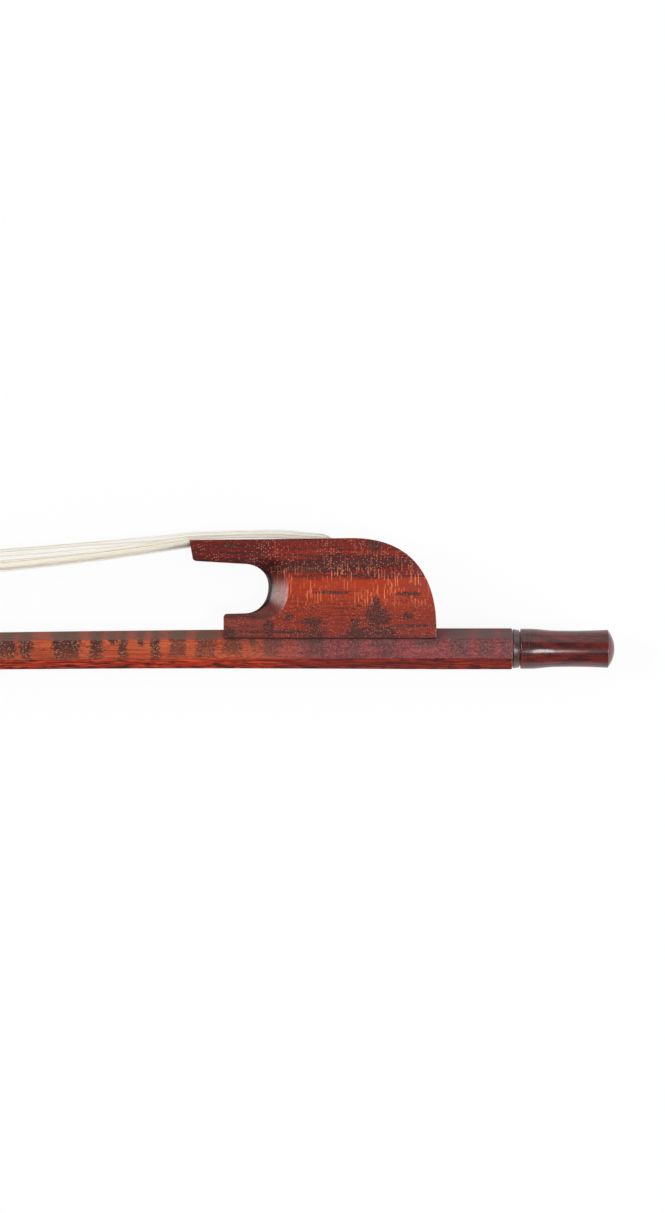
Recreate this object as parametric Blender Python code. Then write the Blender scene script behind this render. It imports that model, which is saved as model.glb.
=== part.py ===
"""A baroque violin bow of snakewood, lying on its side with its hair slack.

Row frame: metres, +X towards the button, +Y towards the hair, +Z up. The origin is on the frog's
lower cheek, the flat face that the bow lies on. Shapes are written from the stick's butt end, its
centre line and the bow's mid-plane, and at() turns those into the row frame.
"""

import math
import random

import bmesh
import bpy
from mathutils import Vector

MM = 0.001

# Clearances
GAP = 0.3 * MM              # between pieces that seat on, hold or pass one another
THREAD_GAP = 0.25 * MM      # radial play of the screw thread in the eyelet

# Reaches of the shapes that cut or join
CUT_PAST = 5.0 * MM         # a cutter runs on this far outside the surface that it opens
OVERLAP = 1.0 * MM          # shapes that are joined, or cut one into another, share this length

# Where the bow lies in the row frame
BUTT_X = 40.0 * MM          # the stick's butt end, from the rest point towards the button
AXIS_Y = -14.0 * MM         # the stick's centre line, from the rest point towards the back

# Stick: an octagonal section at three places, straight runs between them
GRIP_FROM_BUTT = 17.0 * MM      # the section is even from the butt to here
HAND_FROM_BUTT = 80.0 * MM
HEAD_FROM_BUTT = 642.5 * MM     # where the head's throat starts
BUTT_HEIGHT = 9.1 * MM
BUTT_WIDTH = 9.0 * MM
BUTT_HAIR_CHAMFER = 2.27 * MM
BUTT_BACK_CHAMFER = 2.43 * MM
HAND_HEIGHT = 8.45 * MM
HAND_WIDTH = 8.4 * MM
HAND_HAIR_CHAMFER = 1.95 * MM
HAND_BACK_CHAMFER = 2.6 * MM
NECK_HEIGHT = 5.3 * MM
NECK_WIDTH = 5.2 * MM
NECK_HAIR_CHAMFER = 1.5 * MM
NECK_BACK_CHAMFER = 1.6 * MM
BUTT_EDGE = 0.25 * MM           # the softened edge of the butt end
CAMBER_DEPTH = 3.3 * MM         # outward bend, away from the hair
CAMBER_FROM_BUTT = 40.0 * MM    # where the bend starts
STICK_BAYS = 24                 # straight bays that the bent part is made of

# Head, carved in one with the stick, measured from the throat's start and the centre line
HEAD_LENGTH = 34.5 * MM
HEEL_FROM_THROAT = 9.5 * MM
HEEL_HEIGHT = 19.5 * MM
TIP_HEIGHT = 20.5 * MM
HEEL_WIDTH = 8.8 * MM
FACE_MIDDLE_WIDTH = 7.8 * MM
TIP_WIDTH = 2.4 * MM
THROAT_PULL = 12.0 * MM         # how far the throat's curve runs on along the stick
HEEL_PULL = 8.5 * MM            # how far it hangs below the heel
HEEL_UNDERCUT = 5.5 * MM        # how far it swings past the heel towards the tip
BROW_PULL = 22.0 * MM           # how far the back's curve runs on along the stick
BEAK_PULL = 14.5 * MM           # how far back from the tip the beak is drawn
BEAK_DROP = 4.5 * MM            # how far below the tip the beak is hollowed
HEAD_RINGS = 16
CHEEK_FULL_AT = 0.72            # share of the way up at which the head's cheeks are full

# Half of the head's face, from heel to tip: share of the length, and how full it is between the
# widths named beside it
FACE_HEEL_FULL = 0.92           # of the heel's width, at the face's very edge
FACE_SHARES = (0.0, 0.06, 0.34, 0.66, 0.93, 1.0)
FACE_UPPER_FULL = 0.4           # from the heel's width to the middle's
FACE_LOWER_FULL = 0.35          # from the middle's width to the tip's
FACE_TIP_FULL = 0.9             # from the middle's width to the tip's

# Nipple, turned on the stick's butt end
NIPPLE_DIAMETER = 4.6 * MM
NIPPLE_LENGTH = 3.5 * MM

# Frog, measured from the butt end and from the frog's own bottom edge
FROG_WIDTH = 10.6 * MM
FROG_NOSE_FROM_BUTT = 71.56 * MM
FROG_NOSE_HEIGHT = 21.8 * MM
FROG_CREST_FROM_BUTT = 35.5 * MM    # where the hair face turns down into the back
FROG_CREST_HEIGHT = 22.26 * MM
FROG_BACK_FROM_BUTT = 16.9 * MM
FROG_BACK_STRAIGHT = 2.0 * MM       # upright stretch at the foot of the back
BACK_CREST_PULL = 18.0 * MM
BACK_FOOT_PULL = 4.7 * MM
NOSE_LEAN = 0.7 * MM                # how far the nose's front leans back at its lower corner
NOSE_UNDER_HEIGHT = 17.2 * MM
NOSE_ROUND = 0.8 * MM
THROAT_MOUTH_FROM_BUTT = 59.5 * MM
THROAT_ROOF_HEIGHT = 16.57 * MM
THROAT_DEPTH_FROM_BUTT = 54.1 * MM
THROAT_MIDDLE_HEIGHT = 11.62 * MM
THROAT_ROOF_PULL = 2.5 * MM
THROAT_UPPER_PULL = 3.4 * MM
THROAT_LOWER_PULL = 3.6 * MM
THROAT_FLOOR_PULL = 3.2 * MM
FOOT_HEIGHT = 5.6 * MM
FOOT_FRONT_FROM_BUTT = 64.0 * MM
FOOT_ROUND = 0.8 * MM
FOOT_FALL = 0.1 * MM                # its top falls this far towards its front
COVE_WIDTH = 4.3 * MM               # the hollow carved round the throat, at its widest
COVE_END_WIDTH = 1.0 * MM           # its width under the nose and along the foot
COVE_DEPTH = 2.4 * MM               # how far it sinks from each cheek
COVE_NOSE_LIFT = 0.2 * MM           # it runs out this far above the nose's under side
COVE_FOOT_DROP = 0.4 * MM           # and this far below the foot's top
COVE_LEVELS = (0, 20, 40, 60, 75, 85)   # degrees down its quarter round
THROAT_STEPS = 8
BACK_STEPS = 16
CORNER_STEPS = 4

# Hair channel and mortise of the frog
CHANNEL_WIDTH = 7.2 * MM
CHANNEL_FLOOR_HEIGHT = 20.32 * MM
FROG_MORTISE_FRONT = 48.5 * MM
FROG_MORTISE_REAR = 39.3 * MM
FROG_MORTISE_FLOOR_HEIGHT = 13.7 * MM

# Mortise of the head, measured from the throat's start
HEAD_MORTISE_START = 13.0 * MM
HEAD_MORTISE_LENGTH = 6.8 * MM
HEAD_MORTISE_WIDTH = 5.4 * MM
HEAD_MORTISE_FLOOR = 12.8 * MM      # above the centre line

# Screw, eyelet and the frog's travel
EYELET_FROM_BUTT = 38.0 * MM
EYELET_LENGTH = 5.0 * MM
EYELET_WIDTH = 4.4 * MM
EYELET_SHOULDER_DROP = 0.3 * MM     # the shoulder lies this far below the stick's hair-side flat
EYELET_POST_DIAMETER = 3.2 * MM
EYELET_POST_REACH = 9.2 * MM        # into the frog, from its bottom edge
EYELET_ROUND_STEPS = 12
TRAVEL_TIGHT = 7.5 * MM             # the frog draws this far towards the button
TRAVEL_SLACK = 1.5 * MM             # and lets back this far towards the head
SHANK_DIAMETER = 2.8 * MM
THREAD_CREST = 2.7 * MM
THREAD_ROOT = 1.9 * MM
THREAD_PITCH = 0.8 * MM
THREAD_SPARE = 3.0 * MM             # thread past the eyelet at either end of its travel
THREAD_SIDES = 12
PILOT_DIAMETER = 1.8 * MM
PILOT_LENGTH = 12.0 * MM
TANG_SIDE = 1.9 * MM
TANG_LENGTH = 12.3 * MM
SHANK_PAST_NIPPLE = 0.2 * MM

# Button and its collar, measured from the butt end towards the button's dome
COLLAR_LENGTH = 1.2 * MM
COLLAR_NEAR_DIAMETER = 8.7 * MM
COLLAR_FAR_DIAMETER = 8.1 * MM
COLLAR_EDGE = 0.15 * MM
BEAD_DIAMETER = 8.87 * MM
BEAD_LENGTH = 2.9 * MM
SHOULDER_DIAMETER = 8.3 * MM
SHOULDER_LENGTH = 2.6 * MM
WAIST_DIAMETER = 7.92 * MM
WAIST_LENGTH = 6.1 * MM
SKIRT_DIAMETER = 8.42 * MM
SKIRT_LENGTH = 7.2 * MM
DOME_EDGE = 0.25 * MM
DOME_HEIGHT = 1.9 * MM
RECESS_SPARE = 0.2 * MM             # the button's recess past the end of the nipple
BUTTON_BORE_SPARE = 0.4 * MM
ROUND_STEPS = 40

# Hair, knots, bindings and plugs
STRAND_RADIUS = 0.15 * MM
STRAND_SIDES = 3
HAIR_COLUMNS = 10
HAIR_ROWS = 3
KNOT_SPREAD = 0.45 * MM             # from the middle row to an outer row at the knots and turns
CHANNEL_SPREAD = 0.75 * MM
FREE_SPREAD = 2.0 * MM
FREE_SPREAD_LENGTH = 45.0 * MM      # the rows open out over this length in front of the frog
KNOT_HALF_WIDTH = 1.55 * MM
FROG_HAIR_HALF_WIDTH = 3.1 * MM
FREE_HAIR_HALF_WIDTH = 2.4 * MM
HEAD_HAIR_HALF_WIDTH = 2.2 * MM
SAG_HEIGHT = 12.6 * MM              # the slack hair's lowest stretch, above the centre line
SAG_FROG_PULL = 100.0 * MM
SAG_FROG_DROP = 10.2 * MM
SAG_MIDDLE_PULL = 110.0 * MM
SAG_HEAD_PULL = 80.0 * MM
SAG_HEAD_DROP = 3.2 * MM
SAG_PLACE = 0.48                    # share of the way from the frog's nose to the head's heel
SIDE_DROOP = 2.3 * MM               # the slack hair droops this far towards the table
LOOSE_ARCH = 1.9 * MM               # the loose top row stands this far above the rest
LOOSE_START_FROM_BUTT = 41.0 * MM
LOOSE_CREST_FROM_BUTT = 54.0 * MM
LOOSE_END_FROM_BUTT = 100.0 * MM
TURN_STEPS = 4
CHANNEL_STATIONS = 7
SAG_NEAR_STEPS = 10
SAG_FAR_STEPS = 6
STRAND_JITTER = 0.12                # of the distance between neighbours
STILL_STATIONS = 6                  # the jitter grows over these from either knot
SWAY_PER_STATION = 0.9              # radians of a strand's wander from station to station
KNOT_LENGTH = 2.0 * MM
KNOT_END_GAP = 0.5 * MM
KNOT_RIM = 0.1 * MM                 # wax round the outer strands
STRAND_SEAT = 0.5 * MM              # strands reach this far into the knot
BINDING_LENGTH = 1.4 * MM
BINDING_WALL = 0.25 * MM
BINDING_STEPS = 20
PLUG_ROUND_STEPS = 10

# Worked out from the sizes above
MID_Z = FROG_WIDTH / 2
FROG_BOTTOM = BUTT_HEIGHT / 2 - BUTT_HAIR_CHAMFER
CHANNEL_FLOOR = FROG_BOTTOM + CHANNEL_FLOOR_HEIGHT
FROG_MORTISE_FLOOR = FROG_BOTTOM + FROG_MORTISE_FLOOR_HEIGHT
THREAD_NEAR = EYELET_FROM_BUTT - EYELET_LENGTH / 2 - TRAVEL_TIGHT - THREAD_SPARE
THREAD_FAR = EYELET_FROM_BUTT + EYELET_LENGTH / 2 + TRAVEL_SLACK + THREAD_SPARE
SHANK_END = NIPPLE_LENGTH + SHANK_PAST_NIPPLE
COLLAR_START = GAP
BUTTON_START = COLLAR_START + COLLAR_LENGTH + GAP
KNOT_HALF_HEIGHT = KNOT_SPREAD + STRAND_RADIUS + KNOT_RIM
KNOT_SIDE = KNOT_HALF_WIDTH + STRAND_RADIUS + KNOT_RIM
BINDING_HALF_HEIGHT = KNOT_HALF_HEIGHT + GAP + BINDING_WALL
HAIR_EDGE = KNOT_SPREAD + STRAND_RADIUS     # from the hair's middle to its outside in a turn


def at(from_butt, height, side=0.0):
    """A point given from the butt end towards the head, from the centre line and from the mid-plane."""
    return Vector((BUTT_X - from_butt, AXIS_Y + height, MID_Z + side))


def mix(start, end, share):
    return start + (end - start) * share


def smooth_share(share):
    share = min(max(share, 0.0), 1.0)
    return share * share * (3 - 2 * share)


def bezier(start, pull_start, pull_end, end, steps):
    """Points of a cubic curve in the plane, from its start to its end."""
    points = []
    for step in range(steps + 1):
        t = step / steps
        weights = ((1 - t) ** 3, 3 * t * (1 - t) ** 2, 3 * t * t * (1 - t), t ** 3)
        corners = (start, pull_start, pull_end, end)
        points.append(tuple(sum(w * c[k] for w, c in zip(weights, corners)) for k in (0, 1)))
    return points


def arc(centre, radius, start_deg, end_deg, steps):
    angles = [math.radians(mix(start_deg, end_deg, k / steps)) for k in range(steps + 1)]
    return [(centre[0] + radius * math.cos(a), centre[1] + radius * math.sin(a)) for a in angles]


def material(name, colour, roughness, metallic=0.0):
    """A plain finish; the colour is given as 0 to 255 values, as a picture shows it."""
    finish = bpy.data.materials.new(name)
    finish.use_nodes = True
    shader = finish.node_tree.nodes["Principled BSDF"]
    linear = [((c / 255 + 0.055) / 1.055) ** 2.4 if c > 10 else c / 255 / 12.92 for c in colour]
    shader.inputs["Base Color"].default_value = (*linear, 1.0)
    shader.inputs["Roughness"].default_value = roughness
    shader.inputs["Metallic"].default_value = metallic
    finish.diffuse_color = (*linear, 1.0)
    return finish


def mesh_object(name, bm, origin=Vector()):
    """The bmesh as an object whose own origin is the given point."""
    bmesh.ops.recalc_face_normals(bm, faces=bm.faces)
    bmesh.ops.translate(bm, vec=-origin, verts=bm.verts)
    mesh = bpy.data.meshes.new(name)
    bm.to_mesh(mesh)
    bm.free()
    thing = bpy.data.objects.new(name, mesh)
    thing.location = origin
    bpy.context.collection.objects.link(thing)
    return thing


def piece(name, bm, finish, carrier=None, origin=Vector()):
    """A finished piece; one that moves hangs on its joint's empty and has its origin there."""
    if carrier is not None:
        origin = carrier.location.copy()
    thing = mesh_object(name, bm, origin)
    if carrier is not None:
        thing.parent = carrier
        thing.location = (0, 0, 0)
    thing.data.materials.append(finish)
    thing.data.shade_smooth()
    thing.data.set_sharp_from_angle(angle=math.radians(25))
    return thing


def tool(name, bm):
    """A shape that only cuts or joins another one."""
    thing = mesh_object(name, bm)
    thing.hide_render = True
    thing.display_type = "WIRE"
    return thing


def shape_with(thing, operation, other):
    step = thing.modifiers.new(other.name, "BOOLEAN")
    step.operation = operation
    step.solver = "EXACT"
    step.object = other


def cut(thing, name, bm):
    shape_with(thing, "DIFFERENCE", tool(name, bm))


def join(thing, name, bm):
    shape_with(thing, "UNION", tool(name, bm))


def loft(rings, closed=False):
    """A skin over rings of points; it is capped, or closed on itself like a hoop."""
    bm = bmesh.new()
    loops = [[bm.verts.new(point) for point in ring] for ring in rings]
    pairs = list(zip(loops, loops[1:]))
    if closed:
        pairs.append((loops[-1], loops[0]))
    for near, far in pairs:
        for k in range(len(near)):
            bm.faces.new((near[k - 1], near[k], far[k], far[k - 1]))
    if not closed:
        bm.faces.new(loops[0])
        bm.faces.new(reversed(loops[-1]))
    return bm


def slab(outline, half_width):
    """An outline in the bow's plane, as thick as twice the half width."""
    return loft([[at(x, y, side) for x, y in outline] for side in (-half_width, half_width)])


def block(near, far, low, high, half_width):
    return slab([(near, low), (far, low), (far, high), (near, high)], half_width)


def turned(profile, closed=False):
    """A profile of (from butt, radius) points, turned about the centre line."""
    bm = bmesh.new()
    verts = [bm.verts.new(at(x, radius)) for x, radius in profile]
    edges = [bm.edges.new(ends) for ends in zip(verts, verts[1:])]
    if closed:
        edges.append(bm.edges.new((verts[-1], verts[0])))
    bmesh.ops.spin(
        bm,
        geom=verts + edges,
        cent=at(0, 0),
        axis=(1, 0, 0),
        angle=2 * math.pi,
        steps=ROUND_STEPS,
        use_merge=True,
    )
    bmesh.ops.remove_doubles(bm, verts=bm.verts, dist=1e-6)
    return bm


def rod(near, far, diameter):
    radius = diameter / 2
    return turned([(near, 0), (near, radius), (far, radius), (far, 0)])


def square_bar(near, far, side):
    return block(near, far, -side / 2, side / 2, side / 2)


def upright_rod(from_butt, low, high, diameter):
    """A round rod standing on the stick, towards the hair."""
    rings = []
    for height in (low, high):
        turns = [2 * math.pi * k / ROUND_STEPS for k in range(ROUND_STEPS)]
        rings.append([
            at(from_butt + diameter / 2 * math.cos(a), height, diameter / 2 * math.sin(a))
            for a in turns
        ])
    return loft(rings)


def camber(from_butt):
    """How far the stick's centre line stands off towards the back."""
    share = (from_butt - CAMBER_FROM_BUTT) / (HEAD_FROM_BUTT - CAMBER_FROM_BUTT)
    share = min(max(share, 0.0), 1.0)
    return CAMBER_DEPTH * math.sin(math.pi * share) ** 2


def stick_section(from_butt):
    """Height, width, hair-side chamfer and back chamfer of the stick at a place."""
    butt = (BUTT_HEIGHT, BUTT_WIDTH, BUTT_HAIR_CHAMFER, BUTT_BACK_CHAMFER)
    hand = (HAND_HEIGHT, HAND_WIDTH, HAND_HAIR_CHAMFER, HAND_BACK_CHAMFER)
    neck = (NECK_HEIGHT, NECK_WIDTH, NECK_HAIR_CHAMFER, NECK_BACK_CHAMFER)
    if from_butt < HAND_FROM_BUTT:
        start, end = butt, hand
        share = (from_butt - GRIP_FROM_BUTT) / (HAND_FROM_BUTT - GRIP_FROM_BUTT)
    else:
        start, end = hand, neck
        share = (from_butt - HAND_FROM_BUTT) / (HEAD_FROM_BUTT - HAND_FROM_BUTT)
    return [mix(a, b, max(share, 0.0)) for a, b in zip(start, end)]


def half_section(from_butt, grow=0.0):
    """One side of the octagon, hair side to back, as (height, side), each flat moved out by grow."""
    height, width, hair_chamfer, back_chamfer = stick_section(from_butt)
    half_height = height / 2 + grow
    half_width = width / 2 + grow
    hair_chamfer += grow * (2 - math.sqrt(2))
    back_chamfer += grow * (2 - math.sqrt(2))
    flat_top = half_height - hair_chamfer
    flat_foot = back_chamfer - half_height
    return [
        (half_height, half_width - hair_chamfer),
        (flat_top, half_width),
        (mix(flat_top, flat_foot, 1 / 3), half_width),
        (mix(flat_top, flat_foot, 2 / 3), half_width),
        (flat_foot, half_width),
        (-half_height, half_width - back_chamfer),
    ]


def stick_ring(from_butt, grow=0.0):
    drop = camber(from_butt)
    half = half_section(from_butt, grow)
    near_side = [at(from_butt, height - drop, side) for height, side in half]
    far_side = [at(from_butt, height - drop, -side) for height, side in reversed(half)]
    return near_side + far_side


def head_ring(share):
    """A ring of the head, turning from the stick's section into the long flat face."""
    throat, brow = head_lines(share)
    turn = smooth_share(share)
    fill = smooth_share(share / CHEEK_FULL_AT)
    half = NECK_HEIGHT / 2
    stick_marks = [((half - height) / NECK_HEIGHT, side) for height, side in half_section(HEAD_FROM_BUTT)]
    heel, middle, tip = HEEL_WIDTH / 2, FACE_MIDDLE_WIDTH / 2, TIP_WIDTH / 2
    face_sides = (
        heel * FACE_HEEL_FULL,
        heel,
        mix(heel, middle, FACE_UPPER_FULL),
        mix(middle, tip, FACE_LOWER_FULL),
        mix(middle, tip, FACE_TIP_FULL),
        tip / 2,
    )
    face_marks = zip(FACE_SHARES, face_sides)
    marks = []
    for (stick_across, stick_side), (face_across, face_side) in zip(stick_marks, face_marks):
        across = mix(stick_across, face_across, turn)
        side = mix(stick_side, face_side, fill)
        marks.append((mix(throat[0], brow[0], across), mix(throat[1], brow[1], across), side))
    near_side = [at(*mark) for mark in marks]
    far_side = [at(x, y, -side) for x, y, side in reversed(marks)]
    return near_side + far_side


def head_lines(share):
    """The points of the throat's curve and of the back's curve that a ring of the head joins."""
    start = HEAD_FROM_BUTT
    half = NECK_HEIGHT / 2
    heel = (start + HEEL_FROM_THROAT, HEEL_HEIGHT)
    tip = (start + HEAD_LENGTH, TIP_HEIGHT)
    throat = bezier(
        (start, half),
        (start + THROAT_PULL, half),
        (heel[0] + HEEL_UNDERCUT, heel[1] - HEEL_PULL),
        heel,
        HEAD_RINGS,
    )
    brow = bezier(
        (start, -half),
        (start + BROW_PULL, -half),
        (tip[0] - BEAK_PULL, tip[1] - BEAK_DROP),
        tip,
        HEAD_RINGS,
    )
    step = round(share * HEAD_RINGS)
    return throat[step], brow[step]


def face_height(from_butt):
    """The height of the head's face, which runs straight from its heel to the tip."""
    share = (from_butt - HEAD_FROM_BUTT - HEEL_FROM_THROAT) / (HEAD_LENGTH - HEEL_FROM_THROAT)
    return mix(HEEL_HEIGHT, TIP_HEIGHT, share)


def make_stick(wood):
    """The octagonal stick with its head, its nipple, the screw's bore and the eyelet's slot."""
    rings = [stick_ring(0.0, -BUTT_EDGE), stick_ring(BUTT_EDGE), stick_ring(GRIP_FROM_BUTT)]
    rings += [stick_ring(mix(GRIP_FROM_BUTT, HAND_FROM_BUTT, k / 3)) for k in (1, 2, 3)]
    rings += [
        stick_ring(mix(HAND_FROM_BUTT, HEAD_FROM_BUTT, k / STICK_BAYS))
        for k in range(1, STICK_BAYS + 1)
    ]
    rings += [head_ring(k / HEAD_RINGS) for k in range(1, HEAD_RINGS + 1)]
    stick = piece("stick", loft(rings), wood, origin=at(0, 0))
    join(stick, "nipple", rod(-NIPPLE_LENGTH, OVERLAP, NIPPLE_DIAMETER))
    bore_end = THREAD_FAR + GAP
    cut(stick, "screw_bore", rod(-NIPPLE_LENGTH - CUT_PAST, bore_end, SHANK_DIAMETER + 2 * GAP))
    pilot_end = THREAD_FAR + PILOT_LENGTH + 2 * GAP
    cut(stick, "pilot_bore", rod(bore_end - OVERLAP, pilot_end, PILOT_DIAMETER + 2 * GAP))
    slot_near = EYELET_FROM_BUTT - EYELET_LENGTH / 2 - TRAVEL_TIGHT - GAP
    slot_far = EYELET_FROM_BUTT + EYELET_LENGTH / 2 + TRAVEL_SLACK + GAP
    half_slot = EYELET_WIDTH / 2 + GAP
    slot_top = BUTT_HEIGHT / 2 + CUT_PAST
    cut(stick, "eyelet_slot", block(slot_near, slot_far, -half_slot, slot_top, half_slot))
    mortise_start = HEAD_FROM_BUTT + HEAD_MORTISE_START
    cut(stick, "head_mortise", block(
        mortise_start,
        mortise_start + HEAD_MORTISE_LENGTH,
        HEAD_MORTISE_FLOOR,
        TIP_HEIGHT + CUT_PAST,
        HEAD_MORTISE_WIDTH / 2,
    ))
    return stick


def throat_line():
    """The frog's throat, from under the nose round its depth and out along the foot."""
    middle = (THROAT_DEPTH_FROM_BUTT, THROAT_MIDDLE_HEIGHT)
    roof = (THROAT_MOUTH_FROM_BUTT, THROAT_ROOF_HEIGHT)
    floor = (THROAT_MOUTH_FROM_BUTT, FOOT_HEIGHT)
    upper = bezier(
        roof,
        (roof[0] - THROAT_ROOF_PULL, roof[1]),
        (middle[0], middle[1] + THROAT_UPPER_PULL),
        middle,
        THROAT_STEPS,
    )
    lower = bezier(
        middle,
        (middle[0], middle[1] - THROAT_LOWER_PULL),
        (floor[0] - THROAT_FLOOR_PULL, floor[1]),
        floor,
        THROAT_STEPS,
    )
    nose = (FROG_NOSE_FROM_BUTT - NOSE_LEAN - NOSE_ROUND, NOSE_UNDER_HEIGHT)
    foot = (FOOT_FRONT_FROM_BUTT - FOOT_ROUND, FOOT_HEIGHT - FOOT_FALL)
    line = [nose] + upper + lower[1:] + [foot]
    return [(x, FROG_BOTTOM + y) for x, y in line]


def frog_outline():
    """The frog from the side: nose, hair face, rounded back, foot and throat."""
    back = bezier(
        (FROG_CREST_FROM_BUTT, FROG_CREST_HEIGHT),
        (FROG_CREST_FROM_BUTT - BACK_CREST_PULL, FROG_CREST_HEIGHT),
        (FROG_BACK_FROM_BUTT, FROG_BACK_STRAIGHT + BACK_FOOT_PULL),
        (FROG_BACK_FROM_BUTT, FROG_BACK_STRAIGHT),
        BACK_STEPS,
    )
    foot_corner = arc(
        (FOOT_FRONT_FROM_BUTT - FOOT_ROUND, FOOT_HEIGHT - FOOT_FALL - FOOT_ROUND),
        FOOT_ROUND,
        0,
        90,
        CORNER_STEPS,
    )
    nose_low = FROG_NOSE_FROM_BUTT - NOSE_LEAN
    nose_corner = arc(
        (nose_low - NOSE_ROUND, NOSE_UNDER_HEIGHT + NOSE_ROUND),
        NOSE_ROUND,
        -90,
        0,
        CORNER_STEPS,
    )
    outline = [(FROG_NOSE_FROM_BUTT, FROG_NOSE_HEIGHT)] + back
    outline += [(FROG_BACK_FROM_BUTT, 0.0), (FOOT_FRONT_FROM_BUTT, 0.0)] + foot_corner[:-1]
    outline = [(x, FROG_BOTTOM + y) for x, y in outline]
    outline += list(reversed(throat_line()))[:-1]
    outline += [(x, FROG_BOTTOM + y) for x, y in nose_corner]
    return outline


def throat_cove(cheek):
    """The cutter that hollows one cheek round the throat, a quarter round in section."""
    line = throat_line()
    rings = []
    levels = [(1.0, FROG_WIDTH / 2 + CUT_PAST)]
    for degrees in COVE_LEVELS:
        sink = COVE_DEPTH * math.sin(math.radians(degrees))
        levels.append((math.cos(math.radians(degrees)), FROG_WIDTH / 2 - sink))
    past_throat = -0.1
    levels.append((past_throat, FROG_WIDTH / 2 - COVE_DEPTH))
    for share, side in levels:
        ring = []
        for k, (x, y) in enumerate(line):
            before = line[max(k - 1, 0)]
            after = line[min(k + 1, len(line) - 1)]
            run = Vector((after[0] - before[0], after[1] - before[1])).normalized()
            into_wood = Vector((run.y, -run.x))
            facing = max(-into_wood.x, 0.0)
            width = mix(COVE_END_WIDTH, COVE_WIDTH, facing) * share
            ring.append(at(x + into_wood.x * width, y + into_wood.y * width, cheek * side))
        clear_of_nose = FROG_NOSE_FROM_BUTT + CUT_PAST
        ring.append(at(clear_of_nose, line[-1][1] - COVE_FOOT_DROP, cheek * side))
        ring.append(at(clear_of_nose, line[0][1] + COVE_NOSE_LIFT, cheek * side))
        rings.append(ring)
    return loft(rings)


def make_frog(wood, carrier):
    """The frog, seated over the stick's three upper flats, with its channel and mortise."""
    frog = piece("frog", slab(frog_outline(), FROG_WIDTH / 2), wood, carrier)
    seat_places = [FROG_BACK_FROM_BUTT - CUT_PAST]
    seat_places += [mix(GRIP_FROM_BUTT, HAND_FROM_BUTT, k / 3) for k in (0, 1, 2, 3)]
    cut(frog, "stick_seat", loft([stick_ring(place, GAP) for place in seat_places]))
    mouth = FROG_NOSE_FROM_BUTT + CUT_PAST
    above = FROG_BOTTOM + FROG_CREST_HEIGHT + CUT_PAST
    cut(frog, "hair_channel", block(
        FROG_MORTISE_REAR, mouth, CHANNEL_FLOOR, above, CHANNEL_WIDTH / 2))
    cut(frog, "frog_mortise", block(
        FROG_MORTISE_REAR,
        FROG_MORTISE_FRONT,
        FROG_MORTISE_FLOOR,
        CHANNEL_FLOOR + OVERLAP,
        CHANNEL_WIDTH / 2,
    ))
    cut(frog, "post_hole", upright_rod(
        EYELET_FROM_BUTT,
        0.0,
        FROG_BOTTOM + EYELET_POST_REACH + GAP,
        EYELET_POST_DIAMETER + 2 * GAP,
    ))
    cut(frog, "upper_cove", throat_cove(1))
    cut(frog, "lower_cove", throat_cove(-1))
    return frog


def thread(near, far, crest, root):
    """A right-hand thread about the centre line, cut square at both ends."""
    half_pitch = THREAD_PITCH / 2
    first = math.floor((THREAD_NEAR - near) / THREAD_PITCH) + 2
    start = THREAD_NEAR - first * THREAD_PITCH
    rows = math.ceil((far - start) / half_pitch) + 4
    bm = bmesh.new()
    grid = []
    for row in range(rows):
        radius = (crest if row % 2 == 0 else root) / 2
        line = []
        for side in range(THREAD_SIDES):
            angle = 2 * math.pi * side / THREAD_SIDES
            along = start + row * half_pitch - THREAD_PITCH * side / THREAD_SIDES
            line.append(bm.verts.new(at(along, radius * math.cos(angle), radius * math.sin(angle))))
        grid.append(line)
    for row in range(rows - 1):
        for side in range(THREAD_SIDES - 1):
            bm.faces.new((
                grid[row][side],
                grid[row][side + 1],
                grid[row + 1][side + 1],
                grid[row + 1][side],
            ))
        if row >= 2:
            bm.faces.new((grid[row][-1], grid[row - 2][0], grid[row - 1][0], grid[row + 1][-1]))
    for place, keep_side in ((near, 1), (far, -1)):
        geometry = list(bm.verts) + list(bm.edges) + list(bm.faces)
        bmesh.ops.bisect_plane(
            bm,
            geom=geometry,
            dist=1e-7,
            plane_co=at(place, 0),
            plane_no=(keep_side, 0, 0),
            clear_outer=True,
        )
        rim = [edge for edge in bm.edges if edge.is_boundary]
        rim = [e for e in rim if all(abs(v.co.x - at(place, 0).x) < 1e-6 for v in e.verts)]
        bmesh.ops.holes_fill(bm, edges=rim, sides=0)
    return bm


def make_screw(steel, carrier):
    """The adjusting screw: square tang, round shank, thread and pilot."""
    screw = piece(
        "adjusting_screw",
        thread(THREAD_NEAR, THREAD_FAR, THREAD_CREST, THREAD_ROOT),
        steel,
        carrier,
    )
    join(screw, "shank", rod(-SHANK_END, THREAD_NEAR + OVERLAP, SHANK_DIAMETER))
    tang_end = SHANK_END + TANG_LENGTH
    join(screw, "tang", square_bar(-tang_end, -SHANK_END + OVERLAP, TANG_SIDE))
    pilot_end = THREAD_FAR + PILOT_LENGTH
    join(screw, "pilot", rod(THREAD_FAR - OVERLAP, pilot_end, PILOT_DIAMETER))
    return screw


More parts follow.
